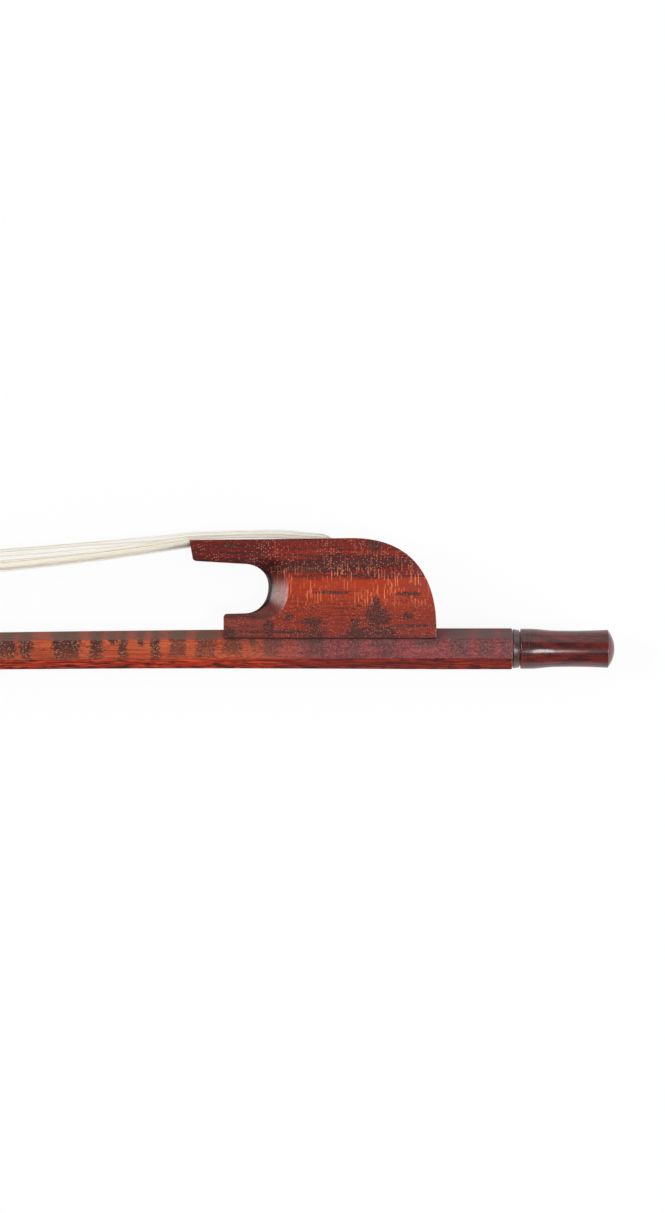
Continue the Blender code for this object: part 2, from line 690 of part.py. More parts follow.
def make_eyelet(brass, carrier):
    """The eyelet: a block with a threaded eye, and a post that is screwed up into the frog."""
    half = EYELET_WIDTH / 2
    shoulder = stick_section(EYELET_FROM_BUTT)[0] / 2 - EYELET_SHOULDER_DROP
    round_foot = arc((0.0, 0.0), half, 180, 360, EYELET_ROUND_STEPS)
    outline = round_foot + [(half, shoulder), (-half, shoulder)]
    rings = []
    for place in (-EYELET_LENGTH / 2, EYELET_LENGTH / 2):
        rings.append([at(EYELET_FROM_BUTT + place, height, side) for side, height in outline])
    eyelet = piece("eyelet", loft(rings), brass, carrier)
    top = FROG_BOTTOM + EYELET_POST_REACH
    join(eyelet, "eyelet_post", upright_rod(
        EYELET_FROM_BUTT, shoulder - OVERLAP, top, EYELET_POST_DIAMETER))
    cut(eyelet, "eyelet_thread", thread(
        EYELET_FROM_BUTT - EYELET_LENGTH,
        EYELET_FROM_BUTT + EYELET_LENGTH,
        THREAD_CREST + 2 * THREAD_GAP,
        THREAD_ROOT + 2 * THREAD_GAP,
    ))
    return eyelet


def make_collar(ebony, carrier):
    bore = NIPPLE_DIAMETER / 2 + GAP
    far = COLLAR_START + COLLAR_LENGTH
    edge = COLLAR_EDGE
    return piece("button_collar", turned([
        (-COLLAR_START, bore),
        (-COLLAR_START, COLLAR_NEAR_DIAMETER / 2 - edge),
        (-COLLAR_START - edge, COLLAR_NEAR_DIAMETER / 2),
        (-far + edge, COLLAR_FAR_DIAMETER / 2 + edge / 2),
        (-far, COLLAR_FAR_DIAMETER / 2 - edge / 2),
        (-far, bore),
    ], closed=True), ebony, carrier)


def button_profile():
    """The button's side: bead, shoulder, slender waist, skirt and dome."""
    bead, shoulder = BEAD_DIAMETER / 2, SHOULDER_DIAMETER / 2
    waist, skirt = WAIST_DIAMETER / 2, SKIRT_DIAMETER / 2
    bead_end = BUTTON_START + BEAD_LENGTH
    shoulder_end = bead_end + SHOULDER_LENGTH
    waist_place = shoulder_end + WAIST_LENGTH
    skirt_end = waist_place + SKIRT_LENGTH
    profile = [(BUTTON_START, 0.0), (BUTTON_START, bead - DOME_EDGE), (BUTTON_START + DOME_EDGE, bead)]
    profile += [
        (mix(bead_end, shoulder_end, k / 4), mix(bead, shoulder, smooth_share(k / 4)))
        for k in range(5)
    ]
    profile += [
        (mix(shoulder_end, waist_place, k / 3), mix(shoulder, waist, 1 - (1 - k / 3) ** 2))
        for k in (1, 2, 3)
    ]
    profile += [
        (mix(waist_place, skirt_end, k / 4), mix(waist, skirt, (k / 4) ** 2))
        for k in (1, 2, 3, 4)
    ]
    dome_start = skirt_end + DOME_EDGE
    dome = skirt - DOME_EDGE
    for k in range(6):
        turn = math.pi / 2 * k / 5
        profile.append((dome_start + DOME_HEIGHT * math.sin(turn), dome * math.cos(turn)))
    profile[-1] = (dome_start + DOME_HEIGHT, 0.0)
    return [(-x, radius) for x, radius in profile]


def make_button(wood, carrier):
    """The button, with a recess for the nipple and a square hole for the screw's tang."""
    button = piece("button", turned(button_profile()), wood, carrier)
    recess_end = SHANK_END + GAP + RECESS_SPARE
    cut(button, "nipple_recess", rod(-recess_end, 0.0, NIPPLE_DIAMETER + 2 * GAP))
    hole_end = SHANK_END + TANG_LENGTH + BUTTON_BORE_SPARE
    cut(button, "tang_hole", square_bar(-hole_end, -recess_end + OVERLAP, TANG_SIDE + 2 * GAP))
    return button


def frog_turn():
    """Centre and radius of the hair's turn round the frog's plug."""
    low = FROG_MORTISE_FLOOR + GAP + BINDING_HALF_HEIGHT
    high = CHANNEL_FLOOR + GAP + HAIR_EDGE
    radius = (high - low) / 2
    return (FROG_MORTISE_REAR + GAP + HAIR_EDGE + radius, low + radius), radius


def head_turn():
    """Centre and radius of the hair's turn round the head's plug."""
    low = HEAD_MORTISE_FLOOR + GAP + BINDING_HALF_HEIGHT
    mortise_end = HEAD_FROM_BUTT + HEAD_MORTISE_START + HEAD_MORTISE_LENGTH
    reach = GAP + HAIR_EDGE
    radius = (face_height(mortise_end - reach) + reach - low) / 2
    return (mortise_end - reach - radius, low + radius), radius


def frog_knot_ends():
    """Where the frog's knot begins and ends, from its free end to the end the hair leaves."""
    free_end = FROG_MORTISE_FRONT - KNOT_END_GAP
    return free_end, free_end - KNOT_LENGTH


def head_knot_ends():
    free_end = HEAD_FROM_BUTT + HEAD_MORTISE_START + GAP
    return free_end, free_end + KNOT_LENGTH


def hair_stations():
    """The hair's middle from knot to knot, as (from butt, height, row spread, half width, side)."""
    frog_centre, frog_radius = frog_turn()
    head_centre, head_radius = head_turn()
    frog_low = frog_centre[1] - frog_radius
    head_low = head_centre[1] - head_radius
    nose = FROG_NOSE_FROM_BUTT
    heel = HEAD_FROM_BUTT + HEEL_FROM_THROAT
    channel_height = CHANNEL_FLOOR + GAP + STRAND_RADIUS + CHANNEL_SPREAD
    heel_height = HEEL_HEIGHT + GAP + HAIR_EDGE
    stations = [(frog_knot_ends()[1] + STRAND_SEAT, frog_low, KNOT_SPREAD, KNOT_HALF_WIDTH, 0.0)]
    round_frog = arc(frog_centre, frog_radius, -90, -270, TURN_STEPS)
    for k, (x, y) in enumerate(round_frog):
        width = mix(KNOT_HALF_WIDTH, FROG_HAIR_HALF_WIDTH, smooth_share((k + 1) / len(round_frog)))
        stations.append((x, y, KNOT_SPREAD, width, 0.0))
    for step in range(1, CHANNEL_STATIONS + 1):
        share = step / CHANNEL_STATIONS
        x = mix(frog_centre[0], nose, share)
        y = mix(round_frog[-1][1], channel_height, smooth_share(share * 2))
        spread = mix(KNOT_SPREAD, CHANNEL_SPREAD, smooth_share(share * 2))
        stations.append((x, y, spread, FROG_HAIR_HALF_WIDTH, 0.0))
    stations += free_stations(nose, channel_height, heel, heel_height)
    round_head = arc(head_centre, head_radius, 90, -90, TURN_STEPS)
    for k, (x, y) in enumerate(round_head):
        width = mix(HEAD_HAIR_HALF_WIDTH, KNOT_HALF_WIDTH, smooth_share(k / (len(round_head) - 1)))
        stations.append((x, y, KNOT_SPREAD, width, 0.0))
    stations.append((head_knot_ends()[1] - STRAND_SEAT, head_low, KNOT_SPREAD, KNOT_HALF_WIDTH, 0.0))
    return stations


def free_stations(nose, nose_height, heel, heel_height):
    """The slack stretch between the frog's nose and the head's heel."""
    middle = (mix(nose, heel, SAG_PLACE), SAG_HEIGHT)
    near = bezier(
        (nose, nose_height),
        (nose + SAG_FROG_PULL, nose_height - SAG_FROG_DROP),
        (middle[0] - SAG_MIDDLE_PULL, middle[1]),
        middle,
        SAG_NEAR_STEPS,
    )
    far = bezier(
        middle,
        (middle[0] + SAG_MIDDLE_PULL, middle[1]),
        (heel - SAG_HEAD_PULL, heel_height - SAG_HEAD_DROP),
        (heel, heel_height),
        SAG_FAR_STEPS,
    )
    stations = []
    for x, y in near[1:] + far[1:]:
        share = (x - nose) / (heel - nose)
        spread = mix(CHANNEL_SPREAD, FREE_SPREAD, smooth_share((x - nose) / FREE_SPREAD_LENGTH))
        spread = mix(spread, KNOT_SPREAD, smooth_share((share - 0.5) * 2))
        end_width = HEAD_HAIR_HALF_WIDTH if share > 0.5 else FROG_HAIR_HALF_WIDTH
        width = mix(end_width, FREE_HAIR_HALF_WIDTH, smooth_share(2 * min(share, 1 - share)))
        stations.append((x, y, spread, width, -SIDE_DROOP * math.sin(math.pi * share) ** 2))
    return stations


def loose_arch(from_butt):
    """How far the loose top row stands above the hair in front of the frog's mortise."""
    rise = (from_butt - LOOSE_START_FROM_BUTT) / (LOOSE_CREST_FROM_BUTT - LOOSE_START_FROM_BUTT)
    fall = (from_butt - LOOSE_CREST_FROM_BUTT) / (LOOSE_END_FROM_BUTT - LOOSE_CREST_FROM_BUTT)
    return LOOSE_ARCH * smooth_share(rise) * (1 - smooth_share(fall))


def strand_rings(stations, row, column, wander):
    """The rings of one strand, kept in its own row and column from knot to knot."""
    rings = []
    last = len(stations) - 1
    for k, (x, y, spread, half_width, side) in enumerate(stations):
        before, after = stations[max(k - 1, 0)], stations[min(k + 1, last)]
        run = Vector((after[0] - before[0], after[1] - before[1])).normalized()
        up = Vector((-run.y, run.x))
        free = smooth_share(min(k, last - k) / STILL_STATIONS)
        sway = STRAND_JITTER * free * math.sin(wander + SWAY_PER_STATION * k)
        row_pitch = 2 * spread / (HAIR_ROWS - 1)
        column_pitch = 2 * half_width / (HAIR_COLUMNS - 1)
        raised = (row - (HAIR_ROWS - 1) / 2 + sway) * row_pitch
        in_the_open = up.y > 0.9
        if row == HAIR_ROWS - 1 and in_the_open:
            raised += loose_arch(x)
        across = side + (column - (HAIR_COLUMNS - 1) / 2 - sway) * column_pitch
        ring = []
        for corner in range(STRAND_SIDES):
            angle = 2 * math.pi * (corner / STRAND_SIDES + 0.25)
            lift = raised + STRAND_RADIUS * math.sin(angle)
            shift = STRAND_RADIUS * math.cos(angle)
            ring.append(at(x + up.x * lift, y + up.y * lift, across + shift))
        rings.append(ring)
    return rings


def make_hair(hair):
    """The hank: strands from knot to knot, fused to a knot of wax at each end."""
    chance = random.Random(7)
    stations = hair_stations()
    strands = bmesh.new()
    for row in range(HAIR_ROWS):
        for column in range(HAIR_COLUMNS):
            strand = loft(strand_rings(stations, row, column, chance.uniform(0, 2 * math.pi)))
            mesh = bpy.data.meshes.new("strand")
            strand.to_mesh(mesh)
            strand.free()
            strands.from_mesh(mesh)
            bpy.data.meshes.remove(mesh)
    hank = piece("hair_hank", strands, hair, origin=at(0, 0))
    for name, ends, turn in (
        ("frog_knot", frog_knot_ends(), frog_turn()),
        ("head_knot", head_knot_ends(), head_turn()),
    ):
        height = turn[0][1] - turn[1]
        join(hank, name, block(
            min(ends),
            max(ends),
            height - KNOT_HALF_HEIGHT,
            height + KNOT_HALF_HEIGHT,
            KNOT_SIDE,
        ))
    return hank


def oval(from_butt, height, half_height, half_width):
    """A ring across the bow, nearly a rectangle with round corners."""
    ring = []
    for k in range(BINDING_STEPS):
        angle = 2 * math.pi * (k + 0.5) / BINDING_STEPS
        c, s = math.cos(angle), math.sin(angle)
        reach = (abs(c) ** 6 + abs(s) ** 6) ** (-1 / 6)
        ring.append(at(from_butt, height + half_height * reach * s, half_width * reach * c))
    return ring


def make_binding(name, thread_finish, ends, height, carrier=None):
    """The thread wound round a knot, as one flat sleeve."""
    middle = (ends[0] + ends[1]) / 2
    inner = (KNOT_HALF_HEIGHT + GAP, KNOT_SIDE + GAP)
    outer = (inner[0] + BINDING_WALL, inner[1] + BINDING_WALL)
    near, far = middle - BINDING_LENGTH / 2, middle + BINDING_LENGTH / 2
    rings = [
        oval(near, height, *outer),
        oval(far, height, *outer),
        oval(far, height, *inner),
        oval(near, height, *inner),
    ]
    origin = at(middle, height)
    return piece(name, loft(rings, closed=True), thread_finish, carrier, origin)


def plug_outline(far_wall, turn, towards):
    """A plug that fills the mortise inside the hair's turn, with a round end."""
    centre, radius = turn
    low = centre[1] - radius + BINDING_HALF_HEIGHT + GAP
    high = centre[1] + radius - HAIR_EDGE - GAP
    end_radius = (high - low) / 2
    start, end = (-90, 90) if towards > 0 else (270, 90)
    nose = arc((centre[0], low + end_radius), end_radius, start, end, PLUG_ROUND_STEPS)
    return [(far_wall, low)] + nose + [(far_wall, high)]


def make_frog_plug(wood, carrier):
    outline = plug_outline(FROG_MORTISE_FRONT - GAP, frog_turn(), -1)
    return piece("frog_mortise_plug", slab(outline, CHANNEL_WIDTH / 2 - GAP), wood, carrier)


def make_head_plug(wood):
    wall = HEAD_FROM_BUTT + HEAD_MORTISE_START + GAP
    outline = plug_outline(wall, head_turn(), 1)
    bm = slab(outline, HEAD_MORTISE_WIDTH / 2 - GAP)
    return piece("head_mortise_plug", bm, wood, origin=at(wall, head_turn()[0][1]))


def carrier_at(name, place):
    """An empty that the pieces of one moving body hang on."""
    empty = bpy.data.objects.new(name, None)
    empty.empty_display_size = 10 * MM
    empty.location = place
    bpy.context.collection.objects.link(empty)
    return empty


def main():
    for thing in list(bpy.data.objects):
        bpy.data.objects.remove(thing, do_unlink=True)
    stick_wood = material("snakewood_stick", (150, 66, 38), 0.35)
    frog_wood = material("snakewood_frog", (165, 65, 40), 0.35)
    button_wood = material("snakewood_button", (62, 28, 26), 0.2)
    ebony = material("black_ebony", (20, 18, 18), 0.3)
    steel = material("screw_steel", (150, 150, 155), 0.35, 1.0)
    brass = material("eyelet_brass", (190, 150, 80), 0.35, 1.0)
    horsehair = material("horsehair", (235, 228, 205), 0.5)
    linen = material("binding_thread", (215, 200, 165), 0.8)
    limewood = material("plug_limewood", (214, 186, 140), 0.7)

    frog_carrier = carrier_at("frog_slide_place", at(EYELET_FROM_BUTT, 0))
    screw_carrier = carrier_at("screw_turn_place", at(0, 0))

    make_stick(stick_wood)
    make_frog(frog_wood, frog_carrier)
    make_screw(steel, screw_carrier)
    make_eyelet(brass, frog_carrier)
    make_collar(ebony, screw_carrier)
    make_button(button_wood, screw_carrier)
    make_hair(horsehair)
    make_frog_plug(limewood, frog_carrier)
    make_head_plug(limewood)
    frog_centre, frog_radius = frog_turn()
    head_centre, head_radius = head_turn()
    make_binding(
        "frog_knot_binding", linen, frog_knot_ends(), frog_centre[1] - frog_radius, frog_carrier)
    make_binding("head_knot_binding", linen, head_knot_ends(), head_centre[1] - head_radius)


main()
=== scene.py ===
"""The looks of a baroque violin bow of snakewood, lying on its side with its hair slack.

Row frame: metres, +X towards the button, +Y towards the hair, +Z up. Places are written as on the
bow maker's bench: from the stick's butt end towards the head, above the stick's centre line, and to
the side of the bow's mid-plane. at() turns them into the row frame.
"""

import math
import random

import bmesh
import bpy
import numpy as np
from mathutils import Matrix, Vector


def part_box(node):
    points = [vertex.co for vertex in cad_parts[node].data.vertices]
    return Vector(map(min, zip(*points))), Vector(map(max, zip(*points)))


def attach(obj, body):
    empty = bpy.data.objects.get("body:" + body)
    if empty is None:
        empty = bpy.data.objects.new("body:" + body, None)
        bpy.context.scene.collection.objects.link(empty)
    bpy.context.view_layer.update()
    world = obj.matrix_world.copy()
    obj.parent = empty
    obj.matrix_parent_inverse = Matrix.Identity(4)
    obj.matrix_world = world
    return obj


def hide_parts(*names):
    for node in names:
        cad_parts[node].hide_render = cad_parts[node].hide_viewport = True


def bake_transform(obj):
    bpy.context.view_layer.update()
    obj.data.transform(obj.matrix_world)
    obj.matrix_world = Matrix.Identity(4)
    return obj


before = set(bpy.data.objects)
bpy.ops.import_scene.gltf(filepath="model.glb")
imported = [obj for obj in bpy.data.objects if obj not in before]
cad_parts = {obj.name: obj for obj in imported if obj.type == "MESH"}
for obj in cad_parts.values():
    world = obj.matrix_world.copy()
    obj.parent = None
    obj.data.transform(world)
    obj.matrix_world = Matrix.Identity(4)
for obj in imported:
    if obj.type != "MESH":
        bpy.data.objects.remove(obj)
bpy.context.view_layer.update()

MM = 0.001

# The clearance between pieces, how far forms run past what they cut or join, and the bow's place
GAP = 0.3 * MM
OVERLAP = 1.0 * MM
RUN_OUT = 5.0 * MM
SEAT_RUN_OUT = 8.0 * MM
frog_low, frog_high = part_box("frog")
collar_low, collar_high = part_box("button_collar")
BUTT_X = collar_low.x - GAP
AXIS_Y = (collar_low.y + collar_high.y) / 2
MID_Z = (frog_low.z + frog_high.z) / 2

# Stick: height, width, hair-side chamfer and back chamfer at the butt, the hand and the neck
BUTT_SECTION = (9.1 * MM, 9.0 * MM, 2.27 * MM, 2.43 * MM)
HAND_SECTION = (8.45 * MM, 8.4 * MM, 1.95 * MM, 2.6 * MM)
NECK_SECTION = (5.3 * MM, 5.2 * MM, 1.5 * MM, 1.6 * MM)
GRIP_FROM_BUTT = 17.0 * MM
HAND_FROM_BUTT = 80.0 * MM
HEAD_FROM_BUTT = 642.5 * MM
BUTT_EDGE = 0.25 * MM
CAMBER_DEPTH = 3.3 * MM
CAMBER_FROM_BUTT = 40.0 * MM
STICK_BAYS = 60
ARRIS_ROUND = 0.22 * MM
NIPPLE_DIAMETER = 4.6 * MM
NIPPLE_LENGTH = 3.5 * MM
SCREW_BORE = 3.4 * MM
SCREW_BORE_DEPTH = 45.3 * MM
PILOT_BORE = 2.4 * MM
PILOT_DEPTH = 57.6 * MM
SLOT_NEAR = 27.7 * MM
SLOT_FAR = 42.3 * MM
SLOT_HALF_WIDTH = 2.5 * MM
SLOT_TOP = 8.0 * MM

# Head, measured from the start of its throat unless a name says from the butt
HEAD_LENGTH = 34.5 * MM
HEEL_FROM_THROAT = 9.5 * MM
HEEL_HEIGHT = 19.5 * MM
TIP_HEIGHT = 20.5 * MM
HEEL_WIDTH = 8.8 * MM
FACE_MIDDLE_WIDTH = 7.8 * MM
TIP_WIDTH = 2.4 * MM
THROAT_PULL = 12.0 * MM
HEEL_PULL = 8.5 * MM
HEEL_UNDERCUT = 5.5 * MM
BROW_PULL = 22.0 * MM
BEAK_PULL = 14.5 * MM
BEAK_DROP = 4.5 * MM
HEAD_RINGS = 40
CHEEK_FULL_AT = 0.72
FACE_SHARES = (0.0, 0.06, 0.34, 0.66, 0.93, 1.0)
HEAD_MORTISE_START = 13.0 * MM
HEAD_MORTISE_NEAR = HEAD_FROM_BUTT + HEAD_MORTISE_START
HEEL_FROM_BUTT = HEAD_FROM_BUTT + HEEL_FROM_THROAT
HEAD_MORTISE_LENGTH = 6.8 * MM
HEAD_MORTISE_WIDTH = 5.4 * MM
HEAD_MORTISE_FLOOR = 12.8 * MM

# Frog, from the butt end and from its own bottom edge
FROG_WIDTH = frog_high.z - frog_low.z
FROG_BOTTOM = BUTT_SECTION[0] / 2 - BUTT_SECTION[2]
FROG_NOSE = 71.56 * MM
FROG_NOSE_HEIGHT = 21.8 * MM
FROG_CREST = 35.5 * MM
FROG_CREST_HEIGHT = 22.26 * MM
FROG_BACK = 16.9 * MM
FROG_BACK_STRAIGHT = 2.0 * MM
BACK_CREST_PULL = 18.0 * MM
BACK_FOOT_PULL = 4.7 * MM
NOSE_LEAN = 0.7 * MM
NOSE_UNDER_HEIGHT = 17.2 * MM
NOSE_ROUND = 0.8 * MM
THROAT_MOUTH = 59.5 * MM
THROAT_ROOF_HEIGHT = 16.57 * MM
THROAT_DEPTH = 54.1 * MM
THROAT_MIDDLE_HEIGHT = 11.62 * MM
THROAT_ROOF_PULL = 2.5 * MM
THROAT_UPPER_PULL = 3.4 * MM
THROAT_LOWER_PULL = 3.6 * MM
THROAT_FLOOR_PULL = 3.2 * MM
FOOT_HEIGHT = 5.6 * MM
FOOT_FRONT = 64.0 * MM
FOOT_ROUND = 0.8 * MM
FOOT_FALL = 0.1 * MM
FROG_EDGE = 0.22 * MM
COVE_WIDTH = 4.55 * MM
COVE_END_WIDTH = 1.1 * MM
COVE_DEPTH = 3.2 * MM
COVE_END_DEPTH = 0.45 * MM
FOOT_SCOOP_WIDTH = 1.9 * MM
FOOT_SCOOP_DEPTH = 0.9 * MM
COVE_LEVELS = 16
COVE_SLOPE_SHARE = 0.72
COVE_SLOPE_FALL = 0.56
COVE_DEPTH_POWER = 1.7
COVE_OVERRUN = 0.12
COVE_RUN_OUT = 4.0 * MM
COVE_FOOT_DROP = 0.4 * MM
COVE_NOSE_RISE = 0.2 * MM
ABOVE_CHEEK = 0.02 * MM
CHANNEL_WIDTH = 7.2 * MM
CHANNEL_FLOOR = FROG_BOTTOM + 20.32 * MM
FROG_MORTISE_FRONT = 48.5 * MM
FROG_MORTISE_REAR = 39.3 * MM
FROG_MORTISE_FLOOR = FROG_BOTTOM + 13.7 * MM
EYELET_FROM_BUTT = 38.0 * MM
POST_HOLE = 3.8 * MM
POST_HOLE_TOP = FROG_BOTTOM + 9.5 * MM

# Button and collar, from the butt end towards the dome
COLLAR_START = 0.2 * MM
COLLAR_LENGTH = 1.4 * MM
COLLAR_SPIGOT = 0.15 * MM
COLLAR_GROOVE = 0.4 * MM
COLLAR_NEAR = 8.75 * MM
COLLAR_FAR = 8.35 * MM
COLLAR_EDGE = 0.12 * MM
BUTTON_START = 1.8 * MM
BEAD_DIAMETER = 8.95 * MM
BEAD_LENGTH = 2.0 * MM
SHOULDER_DIAMETER = 8.12 * MM
SHOULDER_LENGTH = 6.0 * MM
WAIST_DIAMETER = 8.05 * MM
WAIST_LENGTH = 3.6 * MM
SKIRT_DIAMETER = 8.5 * MM
SKIRT_LENGTH = 7.8 * MM
BEAD_EDGE = 0.22 * MM
DOME_ARRIS = 0.05 * MM
DOME_HEIGHT = 1.5 * MM
DOME_FULLNESS = 2.15
ARRIS_MIDDLE = (0.55, 0.17)
ARRIS_DROP = 0.55
SHOULDER_STEPS = 14
WAIST_STEPS = 8
DOME_STEPS = 20
SKIRT_SHARES = (0.14, 0.28, 0.42, 0.56, 0.70, 0.84, 0.94, 0.985, 1.0)
RECESS_DEPTH = 4.2 * MM
TANG_HOLE = 2.5 * MM
TANG_HOLE_DEPTH = 16.4 * MM
LATHE_STEPS = 96
ROD_STEPS = 32

# Hair
HAIR_THICKNESS = 0.15 * MM
HAIRS_LOWER = 120
HAIRS_JOINING = 5
HAIRS_UPPER = 11
HAIRS_LOOSE = 6
HAIRS_STRAY = 3
CORE_HEIGHT_SHARE = 0.72
CORE_WIDTH_SHARE = 0.86
KNOT_HALF_HEIGHT = 0.7 * MM
KNOT_HALF_WIDTH = 1.8 * MM
KNOT_LENGTH = 2.0 * MM
KNOT_END_GAP = 0.5 * MM
KNOT_HOLD = 0.5 * MM
KNOT_ROUND = 0.35 * MM
BINDING_HALF_HEIGHT = 1.25 * MM
BINDING_THREAD = 0.22 * MM
BINDING_TURNS = 6
BINDING_STEPS = 32
BINDING_SQUARENESS = 6
THREAD_SINK = 0.6
THREAD_SPACING = 1.05
HAIR_EDGE = 0.6 * MM

# Camera, from the photograph's frame
PHOTO_WIDTH = 665
PHOTO_HEIGHT = 1213
PIXELS_PER_MM = 4.5
BUTT_PIXEL_X = 512.0
AXIS_PIXEL_Y = 648.75
LENS = 150.0
SENSOR = 36.0

# The studio's table and surroundings
TABLE_HALF_SIZE = 20.0
TABLE_WHITE = (0.9, 0.9, 0.9, 1.0)
TABLE_ROUGHNESS = 0.9
TABLE_GLOW_SHARE = 0.93
SURROUND_STRENGTH = 0.22

# Faces that meet at more than this many degrees keep a sharp edge between them
SHARP_ANGLE = 32


def at(from_butt, height, side=0.0):
    return Vector((BUTT_X - from_butt, AXIS_Y + height, MID_Z + side))


def mix(start, end, share):
    return start + (end - start) * share


def shares_of(steps):
    return [k / steps for k in range(steps + 1)]


def smooth_share(share):
    share = min(max(share, 0.0), 1.0)
    return share * share * (3 - 2 * share)


def bezier(start, pull_start, pull_end, end, steps):
    """Points of a cubic curve in the plane, from its start to its end."""
    points = []
    for step in range(steps + 1):
        t = step / steps
        weights = ((1 - t) ** 3, 3 * t * (1 - t) ** 2, 3 * t * t * (1 - t), t ** 3)
        corners = (start, pull_start, pull_end, end)
        points.append(tuple(sum(w * c[k] for w, c in zip(weights, corners)) for k in (0, 1)))
    return points


def arc(centre, radius, start_deg, end_deg, steps):
    angles = [math.radians(mix(start_deg, end_deg, k / steps)) for k in range(steps + 1)]
    return [(centre[0] + radius * math.cos(a), centre[1] + radius * math.sin(a)) for a in angles]


def srgb(red, green, blue):
    """A colour given as 0 to 255 values, as a picture shows it, made linear."""
    shares = [c / 255 for c in (red, green, blue)]
    linear = [((c + 0.055) / 1.055) ** 2.4 if c > 0.04045 else c / 12.92 for c in shares]
    return (*linear, 1.0)


# Making and carving pieces

def add_object(name, data):
    thing = bpy.data.objects.new(name, data)
    bpy.context.scene.collection.objects.link(thing)
    return thing


def piece_from(name, bm, sharp_angle=SHARP_ANGLE):
    """The bmesh as a finished piece; its object stays at the origin."""
    bmesh.ops.recalc_face_normals(bm, faces=bm.faces)
    mesh = bpy.data.meshes.new(name)
    bm.to_mesh(mesh)
    bm.free()
    mesh.shade_smooth()
    mesh.set_sharp_from_angle(angle=math.radians(sharp_angle))
    return add_object(name, mesh)


def round_edges(bm, edges, width, segments):
    bmesh.ops.bevel(
        bm,
        geom=edges,
        offset=width,
        offset_type="OFFSET",
        segments=segments,
        profile=0.5,
        affect="EDGES",
        clamp_overlap=True,
        material=-1,
    )


def settle(thing):
    """Turns a piece's modifiers into its mesh."""
    bpy.context.view_layer.update()
    seen = thing.evaluated_get(bpy.context.evaluated_depsgraph_get())
    mesh = bpy.data.meshes.new_from_object(seen)
    mesh.materials.clear()
    mesh.polygons.foreach_set("material_index", [0] * len(mesh.polygons))
    thing.modifiers.clear()
    thing.data = mesh


def even_shading(thing, sharp_angle=SHARP_ANGLE):
    """Keeps the flats flat and lets only the rounded edges between them shade softly."""
    thing.data.shade_smooth()
    thing.data.set_sharp_from_angle(angle=math.radians(sharp_angle))
    step = thing.modifiers.new("flats_first", "WEIGHTED_NORMAL")
    step.mode = "FACE_AREA"
    step.weight = 90
    step.keep_sharp = True
    settle(thing)


def carve(thing, *cuts, joins=(), sharp_angle=SHARP_ANGLE):
    """Joins forms to the piece, and then cuts forms out of it, one after another."""
    steps = [("UNION", bm) for bm in joins] + [("DIFFERENCE", bm) for bm in cuts]
    for operation, bm in steps:
        tool = piece_from("carving_tool", bm)
        step = thing.modifiers.new("carve", "BOOLEAN")
        step.operation = operation
        step.solver = "MANIFOLD"
        step.object = tool
        settle(thing)
        bpy.data.objects.remove(tool, do_unlink=True)
    even_shading(thing, sharp_angle)


def draw_out(rings):
    """A solid drawn out from its first ring of corners to its last, one ring after another."""
    bm = bmesh.new()
    corner = bm.verts.layers.int.new("corner")
    made = bmesh.ops.create_circle(bm, cap_ends=True, segments=len(rings[0]), radius=1.0)
    for k, vert in enumerate(made["verts"]):
        vert[corner] = k
        vert.co = rings[0][k]
    bm.faces.ensure_lookup_table()
    end = bm.faces[0]
    for ring in rings[1:]:
        grown = bmesh.ops.extrude_face_region(bm, geom=[end])["geom"]
        for vert in grown:
            if isinstance(vert, bmesh.types.BMVert):
                vert.co = ring[vert[corner]]
        if ring is not rings[1]:
            bmesh.ops.delete(bm, geom=[end], context="FACES_ONLY")
        end = next(face for face in grown if isinstance(face, bmesh.types.BMFace))
    return bm


def slab(outline, half_width):
    """An outline in the bow's plane, as thick as twice the half width."""
    return draw_out([[at(x, y, side) for x, y in outline] for side in (-half_width, half_width)])


def block(near, far, low, high, half_width):
    return slab([(near, low), (far, low), (far, high), (near, high)], half_width)


def turned(profile, closed=False):
    """A profile of (from butt, radius) points, turned about the centre line on the lathe."""
    bm = bmesh.new()
    verts = [bm.verts.new(at(x, radius)) for x, radius in profile]
    edges = [bm.edges.new(ends) for ends in zip(verts, verts[1:])]
    if closed:
        edges.append(bm.edges.new((verts[-1], verts[0])))
    bmesh.ops.spin(
        bm,
        geom=verts + edges,
        cent=at(0, 0),
        axis=(1, 0, 0),
        angle=2 * math.pi,
        steps=LATHE_STEPS,
        use_merge=True,
    )
    bmesh.ops.remove_doubles(bm, verts=bm.verts, dist=1e-6)
    bmesh.ops.recalc_face_normals(bm, faces=bm.faces)
    return bm


def rod(near, far, diameter):
    radius = diameter / 2
    return turned([(near, 0), (near, radius), (far, radius), (far, 0)])


def upright_rod(from_butt, low, high, diameter):
    turns = [2 * math.pi * k / ROD_STEPS for k in range(ROD_STEPS)]
    radius = diameter / 2
    return draw_out([
        [at(from_butt + radius * math.cos(a), height, radius * math.sin(a)) for a in turns]
        for height in (low, high)
    ])


# Finishes

